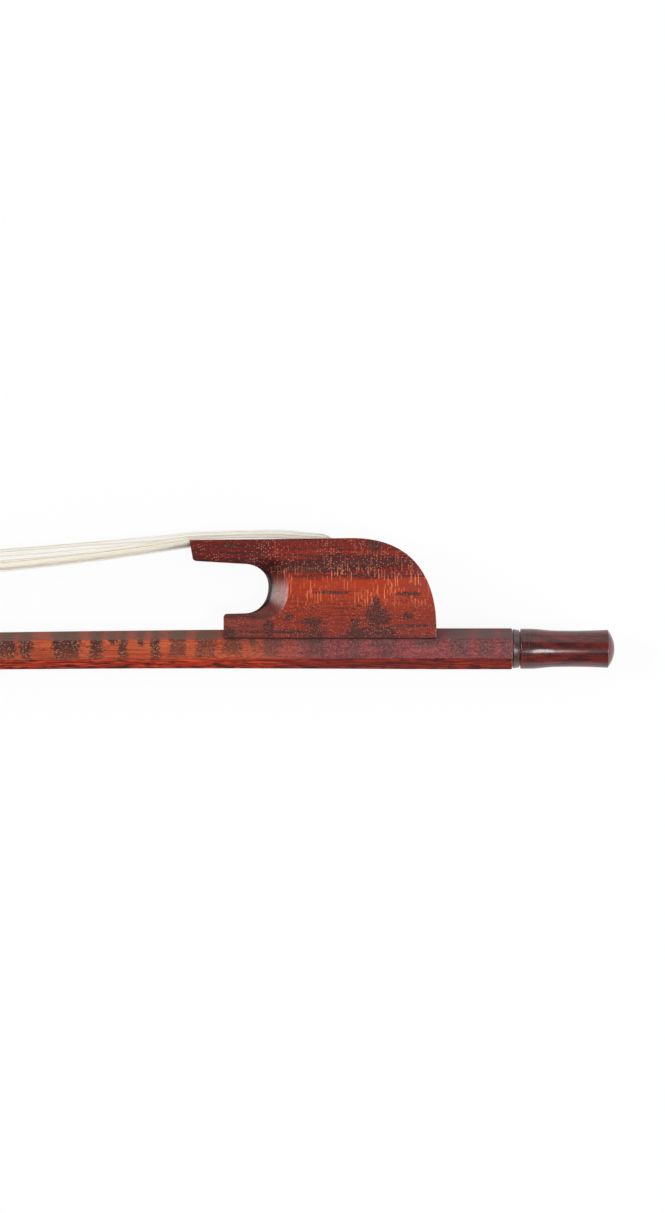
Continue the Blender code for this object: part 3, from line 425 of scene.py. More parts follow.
class Finish:
    """A material's nodes, wired in short calls; the sizes of its patterns are in millimetres."""

    def __init__(self, name):
        self.material = bpy.data.materials.new(name)
        self.material.use_nodes = True
        self.tree = self.material.node_tree
        self.shader = self.tree.nodes["Principled BSDF"]
        self.place = self.tree.nodes.new("ShaderNodeTexCoord").outputs["Object"]

    def node(self, kind, *inputs, **settings):
        """A new node; each input is a link or a value for the socket in that place, None to skip it."""
        made = self.tree.nodes.new(kind)
        for name, value in settings.items():
            setattr(made, name, value)
        for socket, value in zip(made.inputs, inputs):
            self.feed(socket, value)
        return made

    def feed(self, socket, value):
        if isinstance(value, bpy.types.NodeSocket):
            self.tree.links.new(value, socket)
        elif value is not None:
            socket.default_value = value

    def grid(self, along, up, across):
        """Coordinates in which one unit is this many millimetres along, up and across the bow."""
        made = self.node("ShaderNodeMapping", self.place)
        made.inputs["Scale"].default_value = [1 / (size * MM) for size in (along, up, across)]
        return made.outputs["Vector"]

    def noise(self, along, up, across, detail=3.0, roughness=0.5, distortion=0.0, seed=0.0):
        made = self.node("ShaderNodeTexNoise", self.grid(along, up, across), noise_dimensions="4D")
        settings = (
            ("W", seed), ("Scale", 1.0), ("Detail", detail), ("Roughness", roughness),
            ("Distortion", distortion),
        )
        for socket, value in settings:
            made.inputs[socket].default_value = value
        return made.outputs["Fac"]

    def between(self, value, low, high, to_low=0.0, to_high=1.0):
        """The value's place between low and high, eased and kept inside."""
        made = self.node(
            "ShaderNodeMapRange", value, low, high, to_low, to_high,
            interpolation_type="SMOOTHSTEP",
        )
        return made.outputs["Result"]

    def from_to(self, x, start, end):
        """0 at one place from the butt and 1 at the other, both in mm, eased between them."""
        return self.between(x, at(start * MM, 0).x, at(end * MM, 0).x)

    def chain(self, operation, first, *others):
        """The values joined one after another by the same arithmetic."""
        total = first
        for value in others:
            total = self.node("ShaderNodeMath", total, value, operation=operation).outputs[0]
        return total

    def sum(self, *values):
        return self.chain("ADD", *values)

    def times(self, *values):
        return self.chain("MULTIPLY", *values)

    def highest(self, *values):
        return self.chain("MAXIMUM", *values)

    def unsigned(self, value):
        return self.node("ShaderNodeMath", value, operation="ABSOLUTE").outputs[0]

    def sway(self, pattern, width):
        """The pattern as a sway to both sides of zero, this wide from end to end."""
        return self.times(self.sum(pattern, -0.5), width)

    def paint(self, share, under, over):
        """The colour over laid on the colour under, as thick as the share."""
        made = self.node("ShaderNodeMix", data_type="RGBA")
        self.feed(made.inputs[0], share)
        self.feed(made.inputs[6], under)
        self.feed(made.inputs[7], over)
        return made.outputs[2]

    def lay(self, colour, tone, *shares):
        """The colour with a tone laid over it, as thick as the shares multiplied together."""
        return self.paint(self.times(*shares), colour, tone)

    def axes(self, source=None):
        return self.node("ShaderNodeSeparateXYZ", source or self.place).outputs

    def spot(self, from_butt, height, half_length, half_height, wander):
        """A mark on the bow's side, full at its middle and gone at its rim; wander frays the rim."""
        centre = at(from_butt, height)
        away = self.node("ShaderNodeMapping", self.place)
        away.inputs["Scale"].default_value = (1 / half_length, 1 / half_height, 0.0)
        away.inputs["Location"].default_value = (-centre.x / half_length, -centre.y / half_height, 0.0)
        reach = self.node("ShaderNodeVectorMath", away.outputs[0], operation="LENGTH").outputs["Value"]
        return self.between(self.sum(reach, wander), 1.25, 0.75)

    def flecks(self, cell, half_along, half_up, keep):
        """Small upright marks, at most one to a cell; keep is the share of empty cells."""
        place = self.grid(*cell)
        cells = self.node("ShaderNodeTexVoronoi", voronoi_dimensions="3D", feature="F1")
        self.feed(cells.inputs["Vector"], place)
        cells.inputs["Scale"].default_value = 1.0
        cells.inputs["Randomness"].default_value = 1.0
        off = self.node("ShaderNodeVectorMath", place, cells.outputs["Position"], operation="SUBTRACT")
        parts = self.axes(off.outputs[0])
        far = [
            self.unsigned(self.times(part, size / half))
            for part, size, half in zip(parts, cell, (half_along, half_up))
        ]
        inside = self.times(self.between(far[0], 1.35, 0.55), self.between(far[1], 1.1, 0.7))
        chance = self.axes(cells.outputs["Color"])[0]
        return self.times(inside, self.between(chance, keep, keep + 0.05))

    def relief(self, height, depth_mm, strength):
        """A fine relief in the surface, made from a pattern."""
        made = self.node("ShaderNodeBump")
        made.inputs["Strength"].default_value = strength
        made.inputs["Distance"].default_value = depth_mm * MM
        self.feed(made.inputs["Height"], height)
        return made.outputs["Normal"]

    def done(self, colour, roughness, normal=None, metallic=0.0, specular=0.5):
        self.feed(self.shader.inputs["Base Color"], colour)
        self.feed(self.shader.inputs["Roughness"], roughness)
        self.shader.inputs["Metallic"].default_value = metallic
        self.shader.inputs["Specular IOR Level"].default_value = specular
        if normal is not None:
            self.feed(self.shader.inputs["Normal"], normal)
        return self.material


# Dark bars of the stick's snake figure: middle from the butt, width, and how far down the side it
# reaches from the hair side, as a height above the centre line, in mm
STICK_BARS = (
    (111.9, 3.8, -2.0), (107.8, 2.8, -2.1), (99.0, 6.2, -2.0), (92.3, 2.8, -2.9), (88.6, 1.7, 1.0),
    (86.2, 1.8, -3.0), (82.4, 1.5, 0.8), (78.9, 2.2, -2.6), (74.1, 3.7, -1.6), (67.9, 4.2, -1.8),
    (62.0, 3.9, -1.2), (57.6, 1.6, 0.6), (53.1, 4.4, 0.4), (53.6, 3.4, -1.7), (44.4, 5.7, 0.3),
    (43.6, 4.0, -1.6), (35.0, 2.9, -2.2), (28.4, 6.2, 0.3), (27.8, 3.2, -1.9), (18.8, 5.2, 0.3),
    (11.8, 4.4, -1.8), (5.8, 3.5, -1.6), (1.4, 2.4, -1.8),
)
# Dark marks of the frog's figure: from the butt, above its bottom edge, half length, half height, in mm
FROG_MARKS = (
    (30.0, 4.9, 2.6, 2.2), (30.2, 7.4, 1.3, 1.6), (34.8, 3.1, 1.0, 1.4), (34.0, 1.1, 2.8, 1.2),
    (28.6, 1.4, 3.0, 1.3), (44.4, 3.7, 2.2, 1.3), (43.8, 1.1, 1.9, 1.3), (23.1, 4.9, 1.3, 0.8),
    (30.7, 20.9, 1.7, 1.7), (54.0, 2.2, 1.1, 1.9), (62.7, 1.3, 1.5, 1.1), (23.3, 9.9, 2.6, 0.5),
    (39.8, 10.2, 3.6, 0.4), (62.6, 20.6, 1.8, 0.7), (21.8, 2.9, 5.0, 0.32), (51.5, 1.5, 10.0, 0.28),
    (43.0, 15.4, 11.0, 0.6), (36.0, 16.8, 12.0, 0.5), (54.3, 20.8, 0.8, 0.6), (49.5, 4.8, 1.0, 0.8),
    (31.0, 13.9, 9.0, 0.4), (38.0, 18.3, 8.0, 0.35),
)
CURL_SIZE = (0.9, 0.42, 0.8)


def bar_figure(finish, x, height):
    """The dark bars across the stick, ragged along the grain, and the same bars blurred."""
    fray = finish.noise(1.7, 0.8, 0.9, detail=4, roughness=0.68, seed=11)
    along = finish.sum(x, finish.sway(fray, 4.4 * MM))
    rise = finish.noise(1.6, 1.2, 1.2, detail=3, roughness=0.6, seed=12)
    level = finish.sum(height, finish.sway(rise, 1.8 * MM))
    nearest = 10 * MM
    for from_butt, width, low in STICK_BARS:
        side = finish.unsigned(finish.chain("SUBTRACT", along, at(from_butt * MM, 0).x))
        side = finish.sum(side, -width * MM / 2)
        under = finish.chain("SUBTRACT", low * MM, level)
        nearest = finish.chain("MINIMUM", finish.highest(side, under), nearest)
    near_bars = finish.between(nearest, 0.8 * MM, -0.8 * MM)
    blurred_bars = finish.between(nearest, 2.2 * MM, -1.7 * MM)
    swell = finish.noise(3.4, 9.0, 9.0, detail=3, roughness=0.5, distortion=0.6, seed=17)
    past_bars = finish.from_to(x, 113.5, 117.5)
    low_down = finish.between(level, -2.9 * MM, -1.7 * MM)
    far_bars = finish.times(finish.between(swell, 0.44, 0.54), past_bars, low_down)
    return finish.highest(near_bars, far_bars), finish.highest(blurred_bars, far_bars)


def stick_height(finish, x, y):
    """Height above the stick's own centre line, grown where the stick is thinner than at the hand."""
    head_x = at(HEAD_FROM_BUTT, 0).x
    turn = finish.node("ShaderNodeMapRange", x, at(CAMBER_FROM_BUTT, 0).x, head_x, 0, math.pi)
    swing = finish.node("ShaderNodeMath", turn.outputs[0], operation="SINE").outputs[0]
    height = finish.sum(y, -AXIS_Y, finish.times(swing, swing, CAMBER_DEPTH))
    grown = finish.node(
        "ShaderNodeMapRange", x, at(HAND_FROM_BUTT, 0).x, head_x, 1.0,
        HAND_SECTION[0] / NECK_SECTION[0])
    return finish.times(height, grown.outputs[0])


def stick_wood():
    finish = Finish("stick_snakewood")
    x, y = finish.axes()[:2]
    height = stick_height(finish, x, y)
    fibres = finish.noise(11, 0.3, 0.3, detail=4, roughness=0.62)
    broad = finish.noise(20, 2.4, 2.4, detail=2, seed=3)
    tone = finish.between(finish.sum(finish.times(fibres, 0.7), finish.times(broad, 0.5)), 0.44, 0.78)
    colour = finish.paint(tone, srgb(198, 94, 56), srgb(154, 57, 33))
    # Towards the frog the wood is painted greyer and more maroon: a painted sheen, the lamps' reflection
    # in the flat facets, laid over the wood's own tone.
    at_frog = finish.from_to(x, 66, 40)
    colour = finish.paint(at_frog, colour, finish.paint(tone, srgb(152, 70, 70), srgb(116, 54, 60)))
    lines = finish.noise(4.5, 0.16, 0.2, detail=2, distortion=0.5, seed=7)
    colour = finish.lay(colour, srgb(84, 28, 20), finish.between(lines, 0.57, 0.68), 0.6)

    curl = finish.noise(*CURL_SIZE, detail=2, roughness=0.55, distortion=1.6, seed=15)
    grain = finish.noise(0.36, 0.28, 0.3, detail=2, roughness=0.65, seed=24)
    fray = finish.sway(grain, 2.0)
    bars, blurred = bar_figure(finish, x, height)
    figure = finish.between(finish.sum(bars, fray), 0.24, 0.78)
    lower_fade = finish.between(height, -2.2 * MM, 1.2 * MM, 0.72, 0.97)
    curled = finish.between(curl, 0.40, 0.62)
    dark = finish.paint(curled, srgb(44, 27, 25), srgb(86, 51, 42))
    # Near the frog the dark figure is greyed by the same painted sheen.
    dark_sheened_at_frog = finish.paint(curled, srgb(62, 42, 44), srgb(104, 72, 72))
    dark = finish.paint(at_frog, dark, dark_sheened_at_frog)
    # Whitish specks on the dark figure, fewer near the frog: painted glints, small highlights of the
    # lamps.
    painted_glints = finish.between(finish.noise(0.36, 0.26, 0.3, detail=1, seed=23), 0.57, 0.65)
    away = finish.sum(1.0, finish.times(at_frog, -0.6))
    dark = finish.lay(dark, srgb(184, 132, 110), painted_glints, away, 0.72)
    crinkled = finish.times(finish.from_to(x, 80, 72), finish.from_to(x, 34, 42))
    softer = finish.sum(1.0, finish.times(finish.highest(at_frog, crinkled), -0.3))
    figured = finish.lay(colour, dark, figure, lower_fade, softer)
    where = finish.between(finish.noise(7, 3, 3, detail=2, seed=16), 0.42, 0.6, 0.15, 1.0)
    curls = finish.times(finish.between(curl, 0.52, 0.62), finish.highest(where, crinkled))
    figured = finish.lay(figured, srgb(68, 35, 31), curls, 0.66)
    light_curls = finish.times(finish.between(curl, 0.42, 0.36), finish.highest(where, crinkled))
    figured = finish.lay(figured, srgb(172, 104, 76), light_curls, 0.3)

    dark_grains = finish.times(finish.between(grain, 0.49, 0.37), at_frog, 0.6)
    figured = finish.paint(dark_grains, figured, srgb(62, 36, 38))
    light_grains = finish.times(finish.between(grain, 0.56, 0.66), at_frog, 0.42)
    figured = finish.paint(light_grains, figured, srgb(176, 124, 116))

    # The hair-side facet gets a greyer, blurred copy of the bars: a painted sheen, the reflection of the
    # bright side above the hair.
    haze = finish.noise(2.2, 1.2, 1.2, detail=3, seed=19)
    between_bars = finish.paint(at_frog, srgb(150, 80, 68), srgb(122, 72, 74))
    over_bars = finish.paint(at_frog, srgb(108, 80, 70), srgb(98, 75, 75))
    hazy = finish.between(finish.sum(blurred, finish.sway(haze, 1.0)), 0.0, 1.0)
    top_facet_sheen = finish.paint(hazy, between_bars, over_bars)
    top_facet_sheen = finish.lay(top_facet_sheen, srgb(70, 50, 46), finish.between(lines, 0.54, 0.68), 0.4)
    before_head = finish.from_to(x, 646, 634)
    upper = finish.between(height, 2.15 * MM, 2.32 * MM)
    figured = finish.lay(figured, top_facet_sheen, upper, before_head, 0.9)

    flow = finish.noise(7.5, 0.42, 0.5, detail=4, roughness=0.6, distortion=0.9, seed=18)
    flame = finish.paint(finish.between(flow, 0.36, 0.54), srgb(210, 72, 20), srgb(148, 32, 14))
    flame = finish.paint(finish.between(flow, 0.53, 0.61), flame, srgb(66, 13, 12))
    fine_flow = finish.noise(5.0, 0.22, 0.3, detail=2, distortion=1.2, seed=21)
    flame = finish.lay(flame, srgb(66, 14, 12), finish.between(fine_flow, 0.54, 0.64), 0.8)
    blots = finish.noise(3.0, 0.8, 0.9, detail=3, seed=20)
    at_edge = finish.between(height, -3.1 * MM, -4.3 * MM, 0.0, 0.09)
    blots = finish.between(finish.sum(blots, at_edge), 0.55, 0.65)
    flame = finish.lay(flame, srgb(46, 12, 12), blots, 0.85)
    flame = finish.lay(flame, srgb(76, 14, 15), at_frog, 0.58)
    below = finish.between(height, -1.95 * MM, -2.3 * MM)
    colour = finish.paint(below, figured, flame)

    roughness = finish.between(fibres, 0.3, 0.7, 0.34, 0.44)
    relief = finish.relief(
        finish.sum(finish.times(fibres, 0.5), finish.times(curl, 0.4), finish.times(lines, -0.6)),
        0.02, 0.3)
    return finish.done(colour, roughness, relief, specular=0.22)


def frog_wood():
    finish = Finish("frog_snakewood")
    x, y, z = finish.axes()
    bottom = AXIS_Y + FROG_BOTTOM

    def heights(low, high, to_low=0.0, to_high=1.0):
        return finish.between(y, bottom + low * MM, bottom + high * MM, to_low, to_high)

    fibres = finish.noise(8, 0.26, 0.3, detail=4, roughness=0.65, seed=2)
    broad = finish.noise(14, 1.6, 2.0, detail=3, seed=4)
    drift = finish.sum(finish.sway(broad, 4.0 * MM), finish.sway(fibres, 3.0 * MM))
    ramp = finish.node("ShaderNodeValToRGB", finish.node(
        "ShaderNodeMapRange", finish.sum(y, drift), bottom, bottom + FROG_CREST_HEIGHT).outputs["Result"])
    layers = (
        (0.0, srgb(126, 41, 33)), (0.12, srgb(135, 41, 27)), (0.20, srgb(142, 42, 18)),
        (0.36, srgb(152, 44, 15)), (0.42, srgb(168, 49, 13)), (0.58, srgb(168, 49, 12)),
        (0.63, srgb(134, 29, 14)), (0.70, srgb(88, 14, 11)), (0.79, srgb(84, 13, 11)),
        (0.83, srgb(142, 34, 15)), (0.90, srgb(118, 23, 14)), (1.0, srgb(101, 24, 18)),
    )
    stops = ramp.color_ramp.elements
    stops[0].position, stops[0].color = layers[0]
    stops[1].position, stops[1].color = layers[-1]
    for position, tone in layers[1:-1]:
        stops.new(position).color = tone
    colour = ramp.outputs["Color"]
    colour = finish.lay(colour, srgb(70, 18, 18), finish.between(fibres, 0.48, 0.66), 0.55)
    at_nose = finish.from_to(x, 50, 58)
    nose_tone = finish.paint(finish.between(fibres, 0.36, 0.60), srgb(116, 23, 16), srgb(60, 12, 12))
    above_foot = heights(7, 10)
    colour = finish.lay(colour, nose_tone, at_nose, above_foot, 0.9)
    at_foot = finish.times(at_nose, finish.sum(1.0, finish.times(above_foot, -1.0)))
    colour = finish.lay(colour, srgb(112, 54, 48), at_foot, 0.6)
    at_back = finish.times(finish.from_to(x, 27, 19), heights(8, 11))
    colour = finish.lay(colour, srgb(140, 52, 46), at_back, 0.5)

    streaks = finish.noise(8.0, 0.24, 0.4, detail=2, roughness=0.5, distortion=0.3, seed=7)
    upper_third = finish.times(heights(12.6, 14.2), heights(21.4, 19.4))
    low_band = heights(6.0, 4.6)
    more = finish.sum(finish.times(upper_third, 0.085), finish.times(low_band, 0.03))
    colour = finish.lay(
        colour, srgb(48, 16, 20), finish.between(finish.sum(streaks, more), 0.60, 0.69), 0.85)
    grains = finish.noise(0.26, 0.24, 0.26, detail=2, roughness=0.7, seed=36)
    lower_half = heights(11.5, 9.0, 0.35, 1.0)
    colour = finish.lay(colour, srgb(84, 24, 18), finish.between(grains, 0.47, 0.36), lower_half, 0.6)
    colour = finish.lay(colour, srgb(208, 90, 38), finish.between(grains, 0.57, 0.66), lower_half, 0.34)

    dashes = finish.flecks((3.2, 0.72, 2.4), 1.2, 0.10, 0.42)
    broken = finish.between(grains, 0.62, 0.44)
    colour = finish.lay(colour, srgb(54, 18, 20), dashes, heights(9.6, 7.4), broken, 0.8)

    mark_fray = finish.noise(0.9, 0.6, 0.8, detail=4, roughness=0.7, seed=9)
    fine_fray = finish.noise(0.44, 0.38, 0.4, detail=2, roughness=0.6, seed=37)
    fray = finish.sum(finish.sway(mark_fray, 2.2), finish.sway(fine_fray, 1.8))
    marks = 0.0
    for from_butt, up, half_length, half_height in FROG_MARKS:
        height = FROG_BOTTOM + up * MM
        mark = finish.spot(from_butt * MM, height, half_length * MM, half_height * MM, fray)
        marks = finish.highest(mark, marks)
    stipple = finish.between(finish.sum(marks, finish.sway(grains, -1.8)), 0.30, 0.62)
    stipple = finish.times(stipple, finish.between(marks, 0.0, 0.25))
    dark = finish.paint(finish.between(grains, 0.42, 0.62), srgb(36, 17, 19), srgb(104, 48, 38))
    dark = finish.lay(dark, srgb(186, 112, 88), finish.between(fine_fray, 0.60, 0.68), 0.5)
    colour = finish.lay(colour, dark, stipple, 0.9)

    patches = finish.noise(5, 4, 4, detail=2, seed=33)
    often = finish.between(patches, 0.36, 0.60, 0.3, 1.0)
    behind_throat = finish.from_to(x, 60, 51)
    rays = finish.flecks((0.74, 3.2, 2.4), 0.10, 1.25, 0.56)
    short_rays = finish.flecks((0.62, 1.6, 1.6), 0.10, 0.5, 0.60)
    ray_zone = finish.times(behind_throat, heights(6.6, 8.6), heights(16.6, 14.2, 0.3, 1.0), often)
    light_wood = srgb(226, 124, 80)
    colour = finish.lay(colour, light_wood, rays, ray_zone, 0.8)
    colour = finish.lay(colour, light_wood, short_rays, ray_zone, 0.5)
    dots = finish.flecks((0.50, 0.66, 1.0), 0.10, 0.12, 0.56)
    dotted = finish.sum(heights(13.0, 15.0, 0.0, 0.70), heights(9.6, 8.0, 0.0, 0.48))
    colour = finish.lay(colour, srgb(214, 142, 112), dots, dotted, often)

    # A near-black line painted along the frog's bottom edge: painted shade in the gap where the frog sits
    # on the stick.
    colour = finish.paint(heights(0.42, 0.14, 0.0, 0.85), colour, srgb(30, 10, 11))

    # Inside the throat's cove, and most at its rim by the throat, the wood is painted dark: painted shade
    # of the recess.
    under = finish.unsigned(finish.sum(z, -MID_Z))
    cove_shade = finish.between(under, FROG_WIDTH / 2 - 0.1 * MM, FROG_WIDTH / 2 - 0.5 * MM, 0.0, 0.5)
    rim = finish.between(under, FROG_WIDTH / 2 - 1.4 * MM, FROG_WIDTH / 2 - 2.2 * MM, 0.0, 0.48)
    in_front = finish.from_to(x, 48, 49.4)
    colour = finish.lay(colour, srgb(26, 8, 9), finish.sum(cove_shade, rim), in_front)

    roughness = finish.between(fibres, 0.3, 0.7, 0.25, 0.33)
    relief = finish.relief(
        finish.sum(finish.times(fibres, 0.5), finish.times(grains, 0.3), finish.times(streaks, -0.6)),
        0.012, 0.3)
    return finish.done(colour, roughness, relief, specular=0.4)


def button_wood():
    finish = Finish("button_snakewood")
    x = finish.axes()[0]
    fibres = finish.noise(6, 0.22, 0.22, detail=4, roughness=0.65, seed=5)
    broad = finish.noise(4.5, 1.3, 1.3, detail=3, seed=6)
    colour = finish.paint(finish.between(broad, 0.40, 0.60), srgb(66, 18, 17), srgb(104, 27, 23))
    streaks = finish.noise(3.4, 0.42, 0.42, detail=3, roughness=0.6, seed=8)
    colour = finish.lay(colour, srgb(130, 38, 31), finish.between(streaks, 0.55, 0.68), 0.7)
    colour = finish.lay(colour, srgb(26, 9, 11), finish.between(fibres, 0.48, 0.66), 0.75)
    specks = finish.noise(0.26, 0.22, 0.24, detail=1, seed=41)
    colour = finish.lay(colour, srgb(120, 80, 72), finish.between(specks, 0.66, 0.74), 0.25)
    lathe_marks = finish.noise(0.14, 5, 5, detail=1, seed=42)
    near_bead = finish.from_to(x, -9, -4)
    colour = finish.lay(colour, srgb(96, 62, 60), finish.between(lathe_marks, 0.5, 0.64), near_bead, 0.4)
    marks = finish.sum(finish.times(fibres, 0.6), finish.times(lathe_marks, 0.4))
    roughness = finish.between(marks, 0.35, 0.65, 0.19, 0.23)
    return finish.done(colour, roughness, specular=0.66)


def ebony():
    finish = Finish("collar_ebony")
    fibres = finish.noise(3, 0.12, 0.12, detail=3, seed=1)
    colour = finish.paint(finish.between(fibres, 0.4, 0.7), srgb(62, 36, 34), srgb(88, 60, 54))
    roughness = finish.between(fibres, 0.3, 0.7, 0.27, 0.33)
    return finish.done(colour, roughness, finish.relief(fibres, 0.005, 0.3), specular=1.0)


def steel():
    finish = Finish("screw_steel")
    rings = finish.noise(0.09, 3, 3, detail=2, seed=1)
    stain = finish.noise(3, 2, 2, detail=4, seed=2)
    colour = finish.paint(finish.between(stain, 0.45, 0.7), srgb(172, 172, 176), srgb(120, 112, 104))
    roughness = finish.between(rings, 0.3, 0.7, 0.26, 0.42)
    return finish.done(colour, roughness, finish.relief(rings, 0.006, 0.3), metallic=1.0)


def brass():
    finish = Finish("eyelet_brass")
    scratches = finish.noise(0.1, 2, 2, detail=2, seed=3)
    tarnish = finish.noise(1.6, 1.6, 1.6, detail=4, seed=4)
    colour = finish.paint(finish.between(tarnish, 0.42, 0.68), srgb(206, 164, 92), srgb(138, 100, 54))
    roughness = finish.between(scratches, 0.3, 0.7, 0.28, 0.45)
    return finish.done(colour, roughness, finish.relief(scratches, 0.006, 0.3), metallic=1.0)


def limewood():
    finish = Finish("plug_limewood")
    fibres = finish.noise(0.25, 4, 0.2, detail=4, seed=5)
    colour = finish.paint(finish.between(fibres, 0.35, 0.7), srgb(222, 196, 150), srgb(186, 154, 108))
    return finish.done(colour, 0.75, finish.relief(fibres, 0.03, 0.5))


def linen():
    finish = Finish("binding_linen")
    lay = finish.noise(0.1, 0.1, 0.1, detail=2, seed=6)
    colour = finish.paint(lay, srgb(206, 190, 150), srgb(236, 226, 196))
    return finish.done(colour, 0.85, finish.relief(lay, 0.03, 0.6))


def knot_wax():
    finish = Finish("knot_wax")
    lumps = finish.noise(0.5, 0.5, 0.5, detail=3, seed=7)
    colour = finish.paint(lumps, srgb(168, 120, 66), srgb(206, 168, 108))
    return finish.done(colour, finish.between(lumps, 0.3, 0.7, 0.3, 0.5), finish.relief(lumps, 0.05, 0.5))


def horsehair(name, pale, tan, strands=True):
    """Horsehair with rosin dust along it; single strands each keep a tone of their own."""
    finish = Finish(name)
    dust = finish.noise(2.5, 0.4, 0.4, detail=3, seed=8)
    if strands:
        tone = finish.node("ShaderNodeAttribute", attribute_name="hair_tone").outputs["Fac"]
    else:
        tone = finish.between(finish.noise(60, 0.16, 0.16, detail=3, roughness=0.6, seed=10), 0.36, 0.66)
    share = finish.between(finish.sum(finish.times(tone, 0.8), finish.times(dust, 0.3)), 0.1, 0.95)
    colour = finish.paint(share, pale, tan)
    return finish.done(colour, finish.between(dust, 0.3, 0.7, 0.35, 0.5))


# The stick

def camber(from_butt):
    share = (from_butt - CAMBER_FROM_BUTT) / (HEAD_FROM_BUTT - CAMBER_FROM_BUTT)
    share = min(max(share, 0.0), 1.0)
    return CAMBER_DEPTH * math.sin(math.pi * share) ** 2


def stick_section(from_butt):
    if from_butt < HAND_FROM_BUTT:
        start, end = BUTT_SECTION, HAND_SECTION
        share = (from_butt - GRIP_FROM_BUTT) / (HAND_FROM_BUTT - GRIP_FROM_BUTT)
    else:
        start, end = HAND_SECTION, NECK_SECTION
        share = (from_butt - HAND_FROM_BUTT) / (HEAD_FROM_BUTT - HAND_FROM_BUTT)
    return [mix(a, b, max(share, 0.0)) for a, b in zip(start, end)]


def half_section(from_butt, grow=0.0):
    """One side of the octagon, hair side to back, as (height, side), each flat moved out by grow."""
    height, width, hair_chamfer, back_chamfer = stick_section(from_butt)
    half_height = height / 2 + grow
    half_width = width / 2 + grow
    hair_chamfer += grow * (2 - math.sqrt(2))
    back_chamfer += grow * (2 - math.sqrt(2))
    flat_top = half_height - hair_chamfer
    flat_foot = back_chamfer - half_height
    return [
        (half_height, half_width - hair_chamfer),
        (flat_top, half_width),
        (mix(flat_top, flat_foot, 1 / 3), half_width),
        (mix(flat_top, flat_foot, 2 / 3), half_width),
        (flat_foot, half_width),
        (-half_height, half_width - back_chamfer),
    ]


def both_sides(half):
    return [at(*mark) for mark in half] + [at(x, y, -side) for x, y, side in reversed(half)]


def stick_ring(from_butt, grow=0.0):
    drop = camber(from_butt)
    return both_sides([(from_butt, y - drop, side) for y, side in half_section(from_butt, grow)])


def head_lines():
    """The throat's curve and the back's curve, which the rings of the head join."""
    start = HEAD_FROM_BUTT
    half = NECK_SECTION[0] / 2
    heel = (HEEL_FROM_BUTT, HEEL_HEIGHT)
    tip = (start + HEAD_LENGTH, TIP_HEIGHT)
    throat = bezier(
        (start, half),
        (start + THROAT_PULL, half),
        (heel[0] + HEEL_UNDERCUT, heel[1] - HEEL_PULL),
        heel,
        HEAD_RINGS,
    )
    brow = bezier(
        (start, -half),
        (start + BROW_PULL, -half),
        (tip[0] - BEAK_PULL, tip[1] - BEAK_DROP),
        tip,
        HEAD_RINGS,
    )
    return throat, brow


def head_ring(step):
    """A ring of the head, turning from the stick's section into the long flat face."""
    throat, brow = (line[step] for line in head_lines())
    share = step / HEAD_RINGS
    turn = smooth_share(share)
    fill = smooth_share(share / CHEEK_FULL_AT)
    neck = NECK_SECTION[0]
    stick_marks = [((neck / 2 - y) / neck, side) for y, side in half_section(HEAD_FROM_BUTT)]
    heel, middle, tip = HEEL_WIDTH / 2, FACE_MIDDLE_WIDTH / 2, TIP_WIDTH / 2
    face_sides = (
        heel * 0.92,
        heel,
        mix(heel, middle, 0.4),
        mix(middle, tip, 0.35),
        mix(middle, tip, 0.9),
        tip / 2,
    )
    marks = []
    for (stick_across, stick_side), face_across, face_side in zip(stick_marks, FACE_SHARES, face_sides):
        across = mix(stick_across, face_across, turn)
        side = mix(stick_side, face_side, fill)
        marks.append((mix(throat[0], brow[0], across), mix(throat[1], brow[1], across), side))
    return both_sides(marks)


def soften_arrises(bm, flat_corners, width):
    """Rounds the long edges of a drawn-out solid, and leaves the lines inside its flats."""
    corner = bm.verts.layers.int["corner"]
    long_edges = [
        edge for edge in bm.edges
        if edge.verts[0][corner] == edge.verts[1][corner]
        and edge.verts[0][corner] not in flat_corners
    ]
    round_edges(bm, long_edges, width, 3)


def make_stick():
    """The octagonal stick drawn out to its head, with its nipple, bores, slot and mortise."""
    rings = [stick_ring(0.0, -BUTT_EDGE), stick_ring(BUTT_EDGE), stick_ring(GRIP_FROM_BUTT)]
    rings += [stick_ring(mix(GRIP_FROM_BUTT, HAND_FROM_BUTT, k / 3)) for k in (1, 2, 3)]
    rings += [
        stick_ring(mix(HAND_FROM_BUTT, HEAD_FROM_BUTT, k / STICK_BAYS))
        for k in range(1, STICK_BAYS + 1)
    ]
    rings += [head_ring(step) for step in range(1, HEAD_RINGS + 1)]
    bm = draw_out(rings)
    soften_arrises(bm, (2, 3, 8, 9), ARRIS_ROUND)
    stick = piece_from("snakewood_stick", bm)
    carve(
        stick,
        rod(-NIPPLE_LENGTH - OVERLAP, SCREW_BORE_DEPTH, SCREW_BORE),
        rod(SCREW_BORE_DEPTH - OVERLAP, PILOT_DEPTH, PILOT_BORE),
        block(SLOT_NEAR, SLOT_FAR, -SLOT_HALF_WIDTH, SLOT_TOP, SLOT_HALF_WIDTH),
        block(
            HEAD_MORTISE_NEAR,
            HEAD_MORTISE_NEAR + HEAD_MORTISE_LENGTH,
            HEAD_MORTISE_FLOOR,
            TIP_HEIGHT + RUN_OUT,
            HEAD_MORTISE_WIDTH / 2,
        ),
        joins=[rod(-NIPPLE_LENGTH, OVERLAP, NIPPLE_DIAMETER)],
    )
    stick.data.materials.append(stick_wood())
    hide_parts("stick")
    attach(stick, "stick_body")


# The frog

